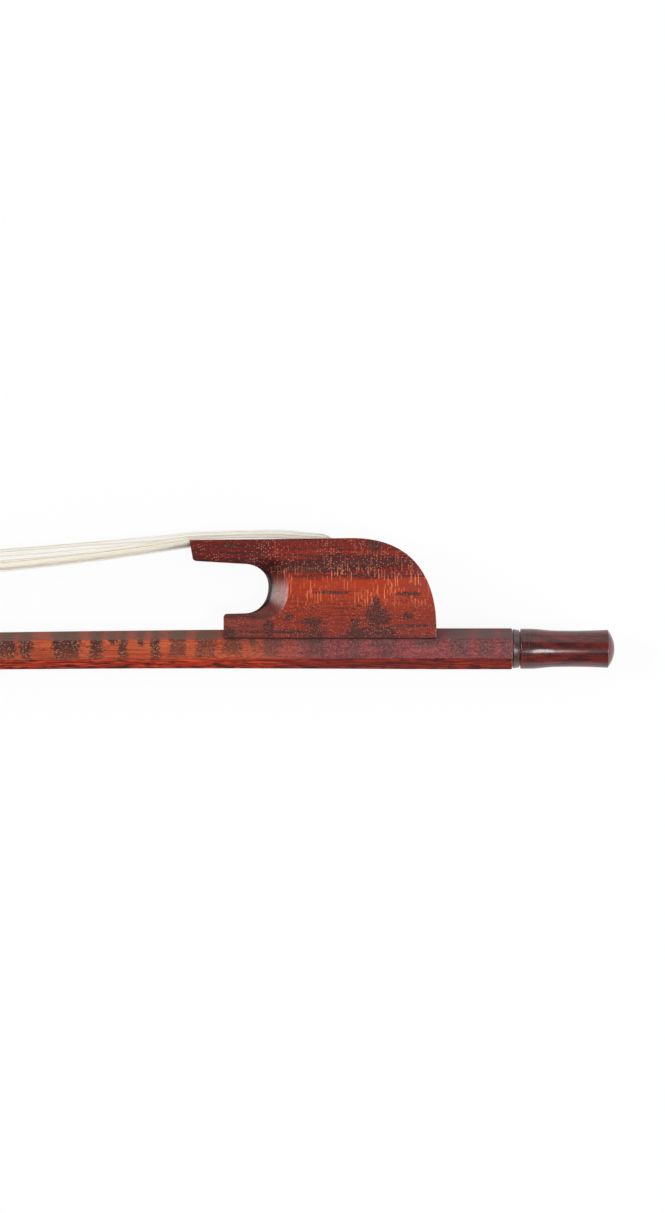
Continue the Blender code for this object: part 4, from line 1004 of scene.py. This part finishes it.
def throat_line():
    middle = (THROAT_DEPTH, THROAT_MIDDLE_HEIGHT)
    roof = (THROAT_MOUTH, THROAT_ROOF_HEIGHT)
    floor = (THROAT_MOUTH, FOOT_HEIGHT)
    upper = bezier(
        roof,
        (roof[0] - THROAT_ROOF_PULL, roof[1]),
        (middle[0], middle[1] + THROAT_UPPER_PULL),
        middle,
        20,
    )
    lower = bezier(
        middle,
        (middle[0], middle[1] - THROAT_LOWER_PULL),
        (floor[0] - THROAT_FLOOR_PULL, floor[1]),
        floor,
        20,
    )
    nose = (FROG_NOSE - NOSE_LEAN - NOSE_ROUND, NOSE_UNDER_HEIGHT)
    foot = (FOOT_FRONT - FOOT_ROUND, FOOT_HEIGHT - FOOT_FALL)
    return [(x, FROG_BOTTOM + y) for x, y in [nose] + upper + lower[1:] + [foot]]


def frog_outline():
    """The frog from the side: nose, hair face, rounded back, foot and throat."""
    back = bezier(
        (FROG_CREST, FROG_CREST_HEIGHT),
        (FROG_CREST - BACK_CREST_PULL, FROG_CREST_HEIGHT),
        (FROG_BACK, FROG_BACK_STRAIGHT + BACK_FOOT_PULL),
        (FROG_BACK, FROG_BACK_STRAIGHT),
        48,
    )
    foot_centre = (FOOT_FRONT - FOOT_ROUND, FOOT_HEIGHT - FOOT_FALL - FOOT_ROUND)
    foot_corner = arc(foot_centre, FOOT_ROUND, 0, 90, 8)
    nose_centre = (FROG_NOSE - NOSE_LEAN - NOSE_ROUND, NOSE_UNDER_HEIGHT + NOSE_ROUND)
    nose_corner = arc(nose_centre, NOSE_ROUND, -90, 0, 8)
    outline = [(FROG_NOSE, FROG_NOSE_HEIGHT)] + back
    outline += [(FROG_BACK, 0.0), (FOOT_FRONT, 0.0)] + foot_corner[:-1]
    outline = [(x, FROG_BOTTOM + y) for x, y in outline]
    outline += list(reversed(throat_line()))[:-1]
    outline += [(x, FROG_BOTTOM + y) for x, y in nose_corner]
    return outline


def cove_fall(inwards):
    """How far down the cove has gone: an even slope from its brim, then rounding over into the throat."""
    slope = COVE_SLOPE_FALL / COVE_SLOPE_SHARE
    if inwards <= COVE_SLOPE_SHARE:
        return slope * inwards
    over = (inwards - COVE_SLOPE_SHARE) / (1 - COVE_SLOPE_SHARE)
    straight_on = slope * (1 - COVE_SLOPE_SHARE)
    return COVE_SLOPE_FALL + straight_on * over + (1 - COVE_SLOPE_FALL - straight_on) * over ** 3


def throat_cove(cheek):
    """The tool that slopes one cheek down all round the throat."""
    line = throat_line()
    half = FROG_WIDTH / 2
    rings = []
    for step in range(-1, COVE_LEVELS + 2):
        inwards = min(max(step, 0), COVE_LEVELS) / COVE_LEVELS
        fall = cove_fall(inwards)
        ring = []
        for k, (x, y) in enumerate(line):
            before = line[max(k - 1, 0)]
            after = line[min(k + 1, len(line) - 1)]
            run = Vector((after[0] - before[0], after[1] - before[1])).normalized()
            into_wood = Vector((run.y, -run.x))
            facing = smooth_share(max(-into_wood.x, 0.0))
            below_middle = y < FROG_BOTTOM + THROAT_MIDDLE_HEIGHT
            width = mix(FOOT_SCOOP_WIDTH if below_middle else COVE_END_WIDTH, COVE_WIDTH, facing)
            end_depth = FOOT_SCOOP_DEPTH if below_middle else COVE_END_DEPTH
            depth = mix(end_depth, COVE_DEPTH, facing ** COVE_DEPTH_POWER)
            reach = width * (1 - inwards) if step <= COVE_LEVELS else -COVE_OVERRUN * width
            side = half + (OVERLAP if step < 0 else ABOVE_CHEEK) - depth * fall
            ring.append(at(x + into_wood.x * reach, y + into_wood.y * reach, cheek * side))
        clear_of_nose = FROG_NOSE + COVE_RUN_OUT
        foot_side, nose_side = ring[-1].z - MID_Z, ring[0].z - MID_Z
        ring.append(at(clear_of_nose, line[-1][1] - COVE_FOOT_DROP, foot_side))
        ring.append(at(clear_of_nose, line[0][1] + COVE_NOSE_RISE, nose_side))
        rings.append(ring)
    return draw_out(rings)


def make_frog():
    bm = slab(frog_outline(), FROG_WIDTH / 2)
    cheeks = [face for face in bm.faces if len(face.verts) > 4]
    rim = {edge for cheek in cheeks for edge in cheek.edges}
    round_edges(bm, list(rim), FROG_EDGE, 4)
    frog = piece_from("snakewood_frog", bm)
    seat_places = [FROG_BACK - SEAT_RUN_OUT, GRIP_FROM_BUTT]
    seat_places += [mix(GRIP_FROM_BUTT, HAND_FROM_BUTT, k / 3) for k in (1, 2, 3)]
    above = FROG_BOTTOM + FROG_CREST_HEIGHT + RUN_OUT
    carve(
        frog,
        draw_out([stick_ring(place, GAP) for place in seat_places]),
        block(FROG_MORTISE_REAR, FROG_NOSE + RUN_OUT, CHANNEL_FLOOR, above, CHANNEL_WIDTH / 2),
        block(
            FROG_MORTISE_REAR,
            FROG_MORTISE_FRONT,
            FROG_MORTISE_FLOOR,
            CHANNEL_FLOOR + OVERLAP,
            CHANNEL_WIDTH / 2,
        ),
        upright_rod(EYELET_FROM_BUTT, 0.0, POST_HOLE_TOP, POST_HOLE),
        throat_cove(1),
        throat_cove(-1),
        sharp_angle=24,
    )
    frog.data.materials.append(frog_wood())
    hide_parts("frog")
    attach(frog, "frog_body")


# The button and its collar

def button_profile():
    bead, shoulder = BEAD_DIAMETER / 2, SHOULDER_DIAMETER / 2
    waist, skirt = WAIST_DIAMETER / 2, SKIRT_DIAMETER / 2
    bead_end = BUTTON_START + BEAD_LENGTH
    shoulder_end = bead_end + SHOULDER_LENGTH
    waist_place = shoulder_end + WAIST_LENGTH
    skirt_end = waist_place + SKIRT_LENGTH
    profile = [(BUTTON_START, 0.0)]
    profile += [
        (BUTTON_START + BEAD_EDGE * (1 - math.cos(a)), bead - BEAD_EDGE * (1 - math.sin(a)))
        for a in (0.0, math.pi / 6, math.pi / 3, math.pi / 2)
    ]
    profile += [
        (mix(bead_end, shoulder_end, share), mix(bead, shoulder, smooth_share(share)))
        for share in shares_of(SHOULDER_STEPS)
    ]
    profile += [
        (mix(shoulder_end, waist_place, share), mix(shoulder, waist, 1 - (1 - share) ** 2))
        for share in shares_of(WAIST_STEPS)[1:]
    ]
    profile += [
        (mix(waist_place, skirt_end, share), mix(waist, skirt, share ** 2))
        for share in SKIRT_SHARES
    ]
    profile.append((skirt_end + DOME_ARRIS * ARRIS_MIDDLE[0], skirt - DOME_ARRIS * ARRIS_MIDDLE[1]))
    dome_start = skirt_end + DOME_ARRIS
    dome = skirt - DOME_ARRIS * ARRIS_DROP
    profile += [
        (dome_start + DOME_HEIGHT * (1 - (1 - share) ** DOME_FULLNESS), dome * (1 - share))
        for share in shares_of(DOME_STEPS)
    ]
    return [(-x, radius) for x, radius in profile]


def make_button():
    button = piece_from("turned_button", turned(button_profile()))
    side = TANG_HOLE / 2
    carve(
        button,
        rod(-RECESS_DEPTH, 0.0, NIPPLE_DIAMETER + 2 * GAP),
        block(-TANG_HOLE_DEPTH, -RECESS_DEPTH + OVERLAP, -side, side, side),
    )
    button.data.materials.append(button_wood())
    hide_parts("button")
    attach(button, "screw_body")


def make_collar():
    bore = NIPPLE_DIAMETER / 2 + GAP
    near, far = COLLAR_NEAR / 2, COLLAR_FAR / 2
    end = COLLAR_START + COLLAR_LENGTH
    edge = COLLAR_EDGE
    soft = edge * 0.3
    spigot_near, spigot_far = near - COLLAR_GROOVE, far - COLLAR_GROOVE
    collar = piece_from("ebony_collar", turned([
        (-COLLAR_START + COLLAR_SPIGOT, bore),
        (-COLLAR_START + COLLAR_SPIGOT, spigot_near),
        (-COLLAR_START, spigot_near),
        (-COLLAR_START, near - edge),
        (-COLLAR_START - soft, near - soft),
        (-COLLAR_START - edge, near),
        (-mix(COLLAR_START, end, 0.5), mix(near, far, 0.5)),
        (-end + edge, far),
        (-end + soft, far - soft),
        (-end, far - edge),
        (-end, spigot_far),
        (-end - COLLAR_SPIGOT, spigot_far),
        (-end - COLLAR_SPIGOT, bore),
    ], closed=True))
    collar.data.materials.append(ebony())
    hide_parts("button_collar")
    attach(collar, "screw_body")


# The hair

def frog_turn():
    """Centre and radius of the hair's turn round the frog's plug."""
    low = FROG_MORTISE_FLOOR + GAP + BINDING_HALF_HEIGHT
    high = CHANNEL_FLOOR + GAP + HAIR_EDGE
    radius = (high - low) / 2
    return (FROG_MORTISE_REAR + GAP + HAIR_EDGE + radius, low + radius), radius


def face_height(from_butt):
    share = (from_butt - HEAD_FROM_BUTT - HEEL_FROM_THROAT) / (HEAD_LENGTH - HEEL_FROM_THROAT)
    return mix(HEEL_HEIGHT, TIP_HEIGHT, share)


def head_turn():
    """Centre and radius of the hair's turn round the head's plug."""
    low = HEAD_MORTISE_FLOOR + GAP + BINDING_HALF_HEIGHT
    mortise_end = HEAD_MORTISE_NEAR + HEAD_MORTISE_LENGTH
    reach = GAP + HAIR_EDGE
    radius = (face_height(mortise_end - reach) + reach - low) / 2
    return (mortise_end - reach - radius, low + radius), radius


FROG_KNOT = (FROG_MORTISE_FRONT - KNOT_END_GAP, FROG_MORTISE_FRONT - KNOT_END_GAP - KNOT_LENGTH)
HEAD_KNOT = (HEAD_MORTISE_NEAR + GAP, HEAD_MORTISE_NEAR + GAP + KNOT_LENGTH)
SAG_HEIGHT = 11.2 * MM
SAG_SHARE = 0.48
SIDE_DROOP = 2.3 * MM
# How far above the lower ribbon's middle the upper ribbon and the loose hairs run, in mm, at places
# from the butt, in mm: the upper ribbon's low and high edges, the outermost loose hair, and the low
# and high edges of the hairs that leave the upper ribbon for the lower one
HAIR_PLACES = (43.0, 51.0, 59.0, 71.5, 80.0, 93.0, 113.6, 300.0, 652.0)
UPPER_LOW = (0.8, 0.9, 0.9, 0.8, 0.9, 1.4, 2.0, 1.6, 0.5)
UPPER_HIGH = (1.6, 2.1, 2.0, 1.5, 1.9, 2.9, 3.4, 2.4, 0.8)
LOOSE_HIGH = (2.2, 2.95, 2.8, 2.4, 2.85, 3.3, 3.8, 2.8, 1.0)
JOINING_LOW = (0.6, 0.7, 0.7, 0.5, 0.4, 0.4, 0.5, 0.4, 0.2)
JOINING_HIGH = (1.4, 1.9, 1.8, 1.4, 1.5, 1.6, 2.0, 1.4, 0.5)
# Half height and half width of the lower ribbon, in mm
RIBBON_AT_MORTISE = (0.45, 2.0)
RIBBON_IN_NOSE = (0.7, 3.1)
RIBBON_PAST_NOSE = (0.75, 3.1)
RIBBON_FREE = (0.9, 2.2)
RIBBON_AT_HEEL = (0.45, 1.9)
RIBBON_IN_HEAD = (0.4, 1.5)
RIBBON_FREE_AFTER = 45.0 * MM
# Pulls of the slack line's curve at the frog, at its lowest place on both sides, and at the head
FROG_PULL = (44.0 * MM, 7.5 * MM)
SAG_PULL_NEAR = 150.0 * MM
SAG_PULL_FAR = 110.0 * MM
HEAD_PULL = (80.0 * MM, 3.2 * MM)
ABOVE_CHANNEL = 0.75 * MM
TURN_OPENS_BY = 0.65
SWAY_SHARE = 0.12
SWAY_ANGLE = 9.0
RIM_FULLNESS = 0.8
RIM_UP_TO = 1.12
RIM_SIDE = (0.9, 1.03)


def hair_line():
    """The middle of the lower ribbon from knot to knot, as (from butt, height, how free it runs)."""
    frog_centre, frog_radius = frog_turn()
    head_centre, head_radius = head_turn()
    channel_height = CHANNEL_FLOOR + GAP + ABOVE_CHANNEL
    heel_height = HEEL_HEIGHT + GAP + HAIR_EDGE
    line = [(FROG_KNOT[1] + KNOT_HOLD, frog_centre[1] - frog_radius, 0.0)]
    line += [(x, y, 0.0) for x, y in arc(frog_centre, frog_radius, -90, -180, 4)]
    rear_half = arc(frog_centre, frog_radius, -180, -270, 10)
    line += [
        (x, y, smooth_share(k / 10 / TURN_OPENS_BY))
        for k, (x, y) in enumerate(rear_half) if k > 0
    ]
    for step in range(1, 15):
        share = step / 14
        x = mix(frog_centre[0], FROG_NOSE, share)
        y = mix(rear_half[-1][1], channel_height, smooth_share(share * 2))
        line.append((x, y, 1.0))
    middle = (mix(FROG_NOSE, HEEL_FROM_BUTT, SAG_SHARE), SAG_HEIGHT)
    near = bezier(
        (FROG_NOSE, channel_height),
        (FROG_NOSE + FROG_PULL[0], channel_height - FROG_PULL[1]),
        (middle[0] - SAG_PULL_NEAR, middle[1]),
        middle,
        34,
    )
    far = bezier(
        middle,
        (middle[0] + SAG_PULL_FAR, middle[1]),
        (HEEL_FROM_BUTT - HEAD_PULL[0], heel_height - HEAD_PULL[1]),
        (HEEL_FROM_BUTT, heel_height),
        16,
    )
    line += [(x, y, 1.0) for x, y in near[1:] + far[1:]]
    line += [(x, y, 0.0) for x, y in arc(head_centre, head_radius, 90, -90, 8)]
    line.append((HEAD_KNOT[1] - KNOT_HOLD, head_centre[1] - head_radius, 0.0))
    return line


def spread_at(from_butt):
    """Half height and half width of the lower ribbon at a place."""
    if from_butt > HEEL_FROM_BUTT:
        return [size * MM for size in RIBBON_IN_HEAD]
    if from_butt < FROG_NOSE:
        share = smooth_share((from_butt - FROG_MORTISE_FRONT) / (FROG_NOSE - FROG_MORTISE_FRONT))
        return [mix(*sizes, share) * MM for sizes in zip(RIBBON_AT_MORTISE, RIBBON_IN_NOSE)]
    half_way = mix(FROG_NOSE, HEEL_FROM_BUTT, 0.5)
    widened = smooth_share((from_butt - FROG_NOSE) / RIBBON_FREE_AFTER)
    closed = smooth_share((from_butt - half_way) / (HEEL_FROM_BUTT - half_way))
    return [
        mix(mix(near, free, widened), far, closed) * MM
        for near, free, far in zip(RIBBON_PAST_NOSE, RIBBON_FREE, RIBBON_AT_HEEL)
    ]


def hair_path(up, across, wander, rise):
    """One hair from knot to knot; up and across, from -1 to 1, are its place in the lower ribbon."""
    line = hair_line()
    last = len(line) - 1
    points = []
    for k, (x, y, opened) in enumerate(line):
        before, after = line[max(k - 1, 0)], line[min(k + 1, last)]
        run = Vector((after[0] - before[0], after[1] - before[1])).normalized()
        off = Vector((-run.y, run.x))
        half_height, half_width = spread_at(x)
        free = min(max((x - FROG_NOSE) / (HEEL_FROM_BUTT - FROG_NOSE), 0.0), 1.0)
        swing = math.sin(math.pi * free) ** 0.5 if 0 < free < 1 else 0.0
        sway = 0.0 if wander is None else SWAY_SHARE * swing * math.sin(wander + SWAY_ANGLE * free)
        raised = (up + sway) * half_height + opened * rise(x / MM) * MM
        side = (across - sway) * half_width - SIDE_DROOP * math.sin(math.pi * free) ** 2
        points.append(at(x + off.x * raised, y + off.y * raised, side))
    return points


def no_rise(place):
    return 0.0


def rise_between(low, high, share):
    """The rise of a hair that runs at its own share between two edges of the hank."""
    def rise(place):
        return mix(np.interp(place, HAIR_PLACES, low), np.interp(place, HAIR_PLACES, high), share)
    return rise


def strand_curve(name, paths, thickness, bevel_resolution):
    """A curve with one round strand along each path."""
    curve = bpy.data.curves.new(name, "CURVE")
    curve.dimensions = "3D"
    curve.bevel_depth = thickness / 2
    curve.bevel_resolution = bevel_resolution
    curve.use_fill_caps = True
    for path in paths:
        spline = curve.splines.new("POLY")
        spline.points.add(len(path) - 1)
        for point, place in zip(spline.points, path):
            point.co = (*place, 1.0)
    return curve


def make_hairs(name, paths, finish, thickness, seed):
    """Hairs drawn along their paths, as one mesh that keeps a tone for each hair."""
    chance = random.Random(seed)
    drawn = add_object(name + "_curve", strand_curve(name, paths, thickness, 0))
    bpy.context.view_layer.update()
    mesh = bpy.data.meshes.new_from_object(drawn.evaluated_get(bpy.context.evaluated_depsgraph_get()))
    bpy.data.objects.remove(drawn, do_unlink=True)
    hairs = add_object(name, mesh)
    tones = [chance.random() for _ in paths]
    per_hair = len(mesh.vertices) // len(paths)
    values = np.repeat(np.array(tones, np.float32), per_hair)
    tone = mesh.attributes.new("hair_tone", "FLOAT", "POINT")
    tone.data.foreach_set("value", values)
    mesh.shade_smooth()
    mesh.materials.clear()
    mesh.materials.append(finish)
    return hairs


def ribbon_rim(turn):
    """Where a strand lies on the lower ribbon's rounded outside, as its (up, across) place."""
    c, s = math.cos(turn), math.sin(turn)
    return math.copysign(abs(s) ** RIM_FULLNESS, s), math.copysign(abs(c) ** RIM_FULLNESS, c)


def make_core(finish):
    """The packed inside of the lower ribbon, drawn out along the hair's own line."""
    rim = [ribbon_rim(2 * math.pi * (k + 0.5) / 20) for k in range(20)]
    paths = [
        hair_path(up * CORE_HEIGHT_SHARE, across * CORE_WIDTH_SHARE, None, no_rise)
        for up, across in rim
    ]
    core = piece_from("hair_packed_core", draw_out(list(zip(*paths))), 60)
    core.data.materials.append(finish)
    return core


def tie_to_bodies(hairs):
    """The hair hangs between the head and the frog; its place is baked into its mesh, and it is tied to no
    body.
    """
    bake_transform(hairs)


def make_hank():
    """The slack hank: a full lower ribbon, a thinner upper one, and loose hairs arching off it."""
    chance = random.Random(5)
    pale, tan = srgb(255, 252, 242), srgb(251, 241, 220)
    light_pale, light_tan = srgb(255, 253, 246), srgb(252, 244, 226)
    finish = horsehair("horsehair", pale, tan)
    light_finish = horsehair("horsehair_light", light_pale, light_tan)
    core_finish = horsehair("horsehair_packed", pale, srgb(247, 235, 208), strands=False)

    def scatter(count, place_of, low=None, high=None):
        """Hairs at places of their own, dealt out evenly between two edges of the hank."""
        paths = []
        for k in range(count):
            up, across = place_of()
            rise = no_rise if low is None else rise_between(low, high, (k + chance.random()) / count)
            paths.append(hair_path(up, across, chance.uniform(0, 2 * math.pi), rise))
        return paths

    def beside(low, high):
        return lambda: (chance.uniform(low, high), chance.uniform(-1, 1))

    def round_the_core():
        up, across = ribbon_rim(chance.uniform(0, 2 * math.pi))
        return up * chance.uniform(CORE_HEIGHT_SHARE, RIM_UP_TO), across * chance.uniform(*RIM_SIDE)

    lower = scatter(HAIRS_LOWER, round_the_core)
    upper = scatter(HAIRS_UPPER, beside(-0.1, 0.1), UPPER_LOW, UPPER_HIGH)
    upper += scatter(HAIRS_JOINING, beside(-0.1, 0.1), JOINING_LOW, JOINING_HIGH)
    loose = scatter(HAIRS_LOOSE, beside(-0.1, 0.1), UPPER_HIGH, LOOSE_HIGH)
    loose += scatter(HAIRS_STRAY, beside(-1.6, -1.3))
    core = make_core(core_finish)
    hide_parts("hair_hank")
    tie_to_bodies(core)
    tie_to_bodies(make_hairs("hair_lower_ribbon", lower, finish, HAIR_THICKNESS, 1))
    tie_to_bodies(make_hairs("hair_upper_ribbon", upper, light_finish, HAIR_THICKNESS * 0.75, 2))
    tie_to_bodies(make_hairs("hair_loose_strands", loose, light_finish, HAIR_THICKNESS * 0.65, 3))


def make_knot(name, ends, height, body, finish):
    """A knot of wax and hair ends, a rounded little block."""
    bm = block(min(ends), max(ends), height - KNOT_HALF_HEIGHT, height + KNOT_HALF_HEIGHT, KNOT_HALF_WIDTH)
    round_edges(bm, list(bm.edges), KNOT_ROUND, 4)
    knot = piece_from(name, bm, 60)
    knot.data.materials.append(finish)
    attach(knot, body)


def make_binding(name, node, ends, height, body, finish):
    """Thread wound round a knot, one turn beside another."""
    middle = (ends[0] + ends[1]) / 2
    inner_height = KNOT_HALF_HEIGHT + BINDING_THREAD * THREAD_SINK
    inner_width = KNOT_HALF_WIDTH + BINDING_THREAD * THREAD_SINK
    pitch = BINDING_THREAD * THREAD_SPACING
    path = []
    for k in range(BINDING_TURNS * BINDING_STEPS + 1):
        angle = 2 * math.pi * k / BINDING_STEPS
        c, s = math.cos(angle), math.sin(angle)
        reach = (abs(c) ** BINDING_SQUARENESS + abs(s) ** BINDING_SQUARENESS) ** (-1 / BINDING_SQUARENESS)
        along = middle + pitch * (k / BINDING_STEPS - BINDING_TURNS / 2)
        path.append(at(along, height + inner_height * reach * s, inner_width * reach * c))
    thread = add_object(name, strand_curve(name, [path], BINDING_THREAD, 1))
    thread.data.materials.append(finish)
    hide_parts(node)
    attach(thread, body)


def finish_cad_nodes():
    """The hidden pieces keep their own solids and get their finish."""
    wood = limewood()
    for node, finish in (
        ("adjusting_screw", steel()),
        ("eyelet", brass()),
        ("frog_mortise_plug", wood),
        ("head_mortise_plug", wood),
    ):
        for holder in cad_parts[node].material_slots:
            holder.material = finish


# The studio

def area_light(name, place, target, size, size_y, power):
    lamp = bpy.data.lights.new(name, "AREA")
    lamp.shape = "RECTANGLE"
    lamp.size = size
    lamp.size_y = size_y
    lamp.energy = power
    holder = add_object(name, lamp)
    holder.location = place
    holder.rotation_euler = (Vector(target) - Vector(place)).to_track_quat("-Z", "Y").to_euler()


def make_studio():
    bm = bmesh.new()
    bmesh.ops.create_grid(bm, x_segments=1, y_segments=1, size=TABLE_HALF_SIZE)
    floor = piece_from("white_table", bm)
    finish = Finish("white_table")
    glow = finish.node("ShaderNodeEmission", None, 1.0)
    rays = finish.node("ShaderNodeLightPath").outputs
    seen = finish.highest(rays["Is Camera Ray"], rays["Is Glossy Ray"])
    share = finish.times(seen, TABLE_GLOW_SHARE)
    both = finish.node("ShaderNodeMixShader", share, finish.shader.outputs[0], glow.outputs[0])
    finish.feed(finish.tree.nodes["Material Output"].inputs["Surface"], both.outputs[0])
    floor.data.materials.append(finish.done(TABLE_WHITE, TABLE_ROUGHNESS))

    world = bpy.data.worlds.new("studio")
    bpy.context.scene.world = world
    world.use_nodes = True
    background = world.node_tree.nodes["Background"]
    background.inputs["Color"].default_value = (1.0, 1.0, 1.0, 1.0)
    background.inputs["Strength"].default_value = SURROUND_STRENGTH

    bow = (0.0, -0.01, 0.01)
    area_light("softbox_left", (-1.85, 0.40, 1.09), bow, 0.88, 1.32, 33.0)
    area_light("softbox_right", (0.90, -0.33, 0.25), bow, 0.50, 0.46, 8.0)
    area_light("strip_overhead", (0.30, -0.28, 1.10), bow, 0.36, 0.22, 4.0)
    area_light("panel_hair_side", (0.0, 1.00, 0.52), bow, 1.60, 0.90, 3.6)

    camera = bpy.data.cameras.new("camera")
    camera.lens = LENS
    camera.sensor_width = SENSOR
    camera.sensor_fit = "AUTO"
    holder = add_object("camera", camera)
    height = PHOTO_HEIGHT / PIXELS_PER_MM * MM * LENS / SENSOR
    right = (PHOTO_WIDTH / 2 - BUTT_PIXEL_X) / PIXELS_PER_MM * MM
    up = (AXIS_PIXEL_Y - PHOTO_HEIGHT / 2) / PIXELS_PER_MM * MM
    holder.location = (BUTT_X + right, AXIS_Y + up, MID_Z + height)
    bpy.context.scene.camera = holder
    bpy.context.scene.view_settings.view_transform = "Standard"


make_stick()
make_frog()
make_button()
make_collar()
make_hank()
wax = knot_wax()
thread_finish = linen()
frog_knot_height = frog_turn()[0][1] - frog_turn()[1]
head_knot_height = head_turn()[0][1] - head_turn()[1]
make_knot("frog_hair_knot", FROG_KNOT, frog_knot_height, "frog_body", wax)
make_knot("head_hair_knot", HEAD_KNOT, head_knot_height, "stick_body", wax)
make_binding(
    "frog_knot_thread", "frog_knot_binding", FROG_KNOT, frog_knot_height, "frog_body", thread_finish)
make_binding(
    "head_knot_thread", "head_knot_binding", HEAD_KNOT, head_knot_height, "stick_body", thread_finish)
finish_cad_nodes()
make_studio()
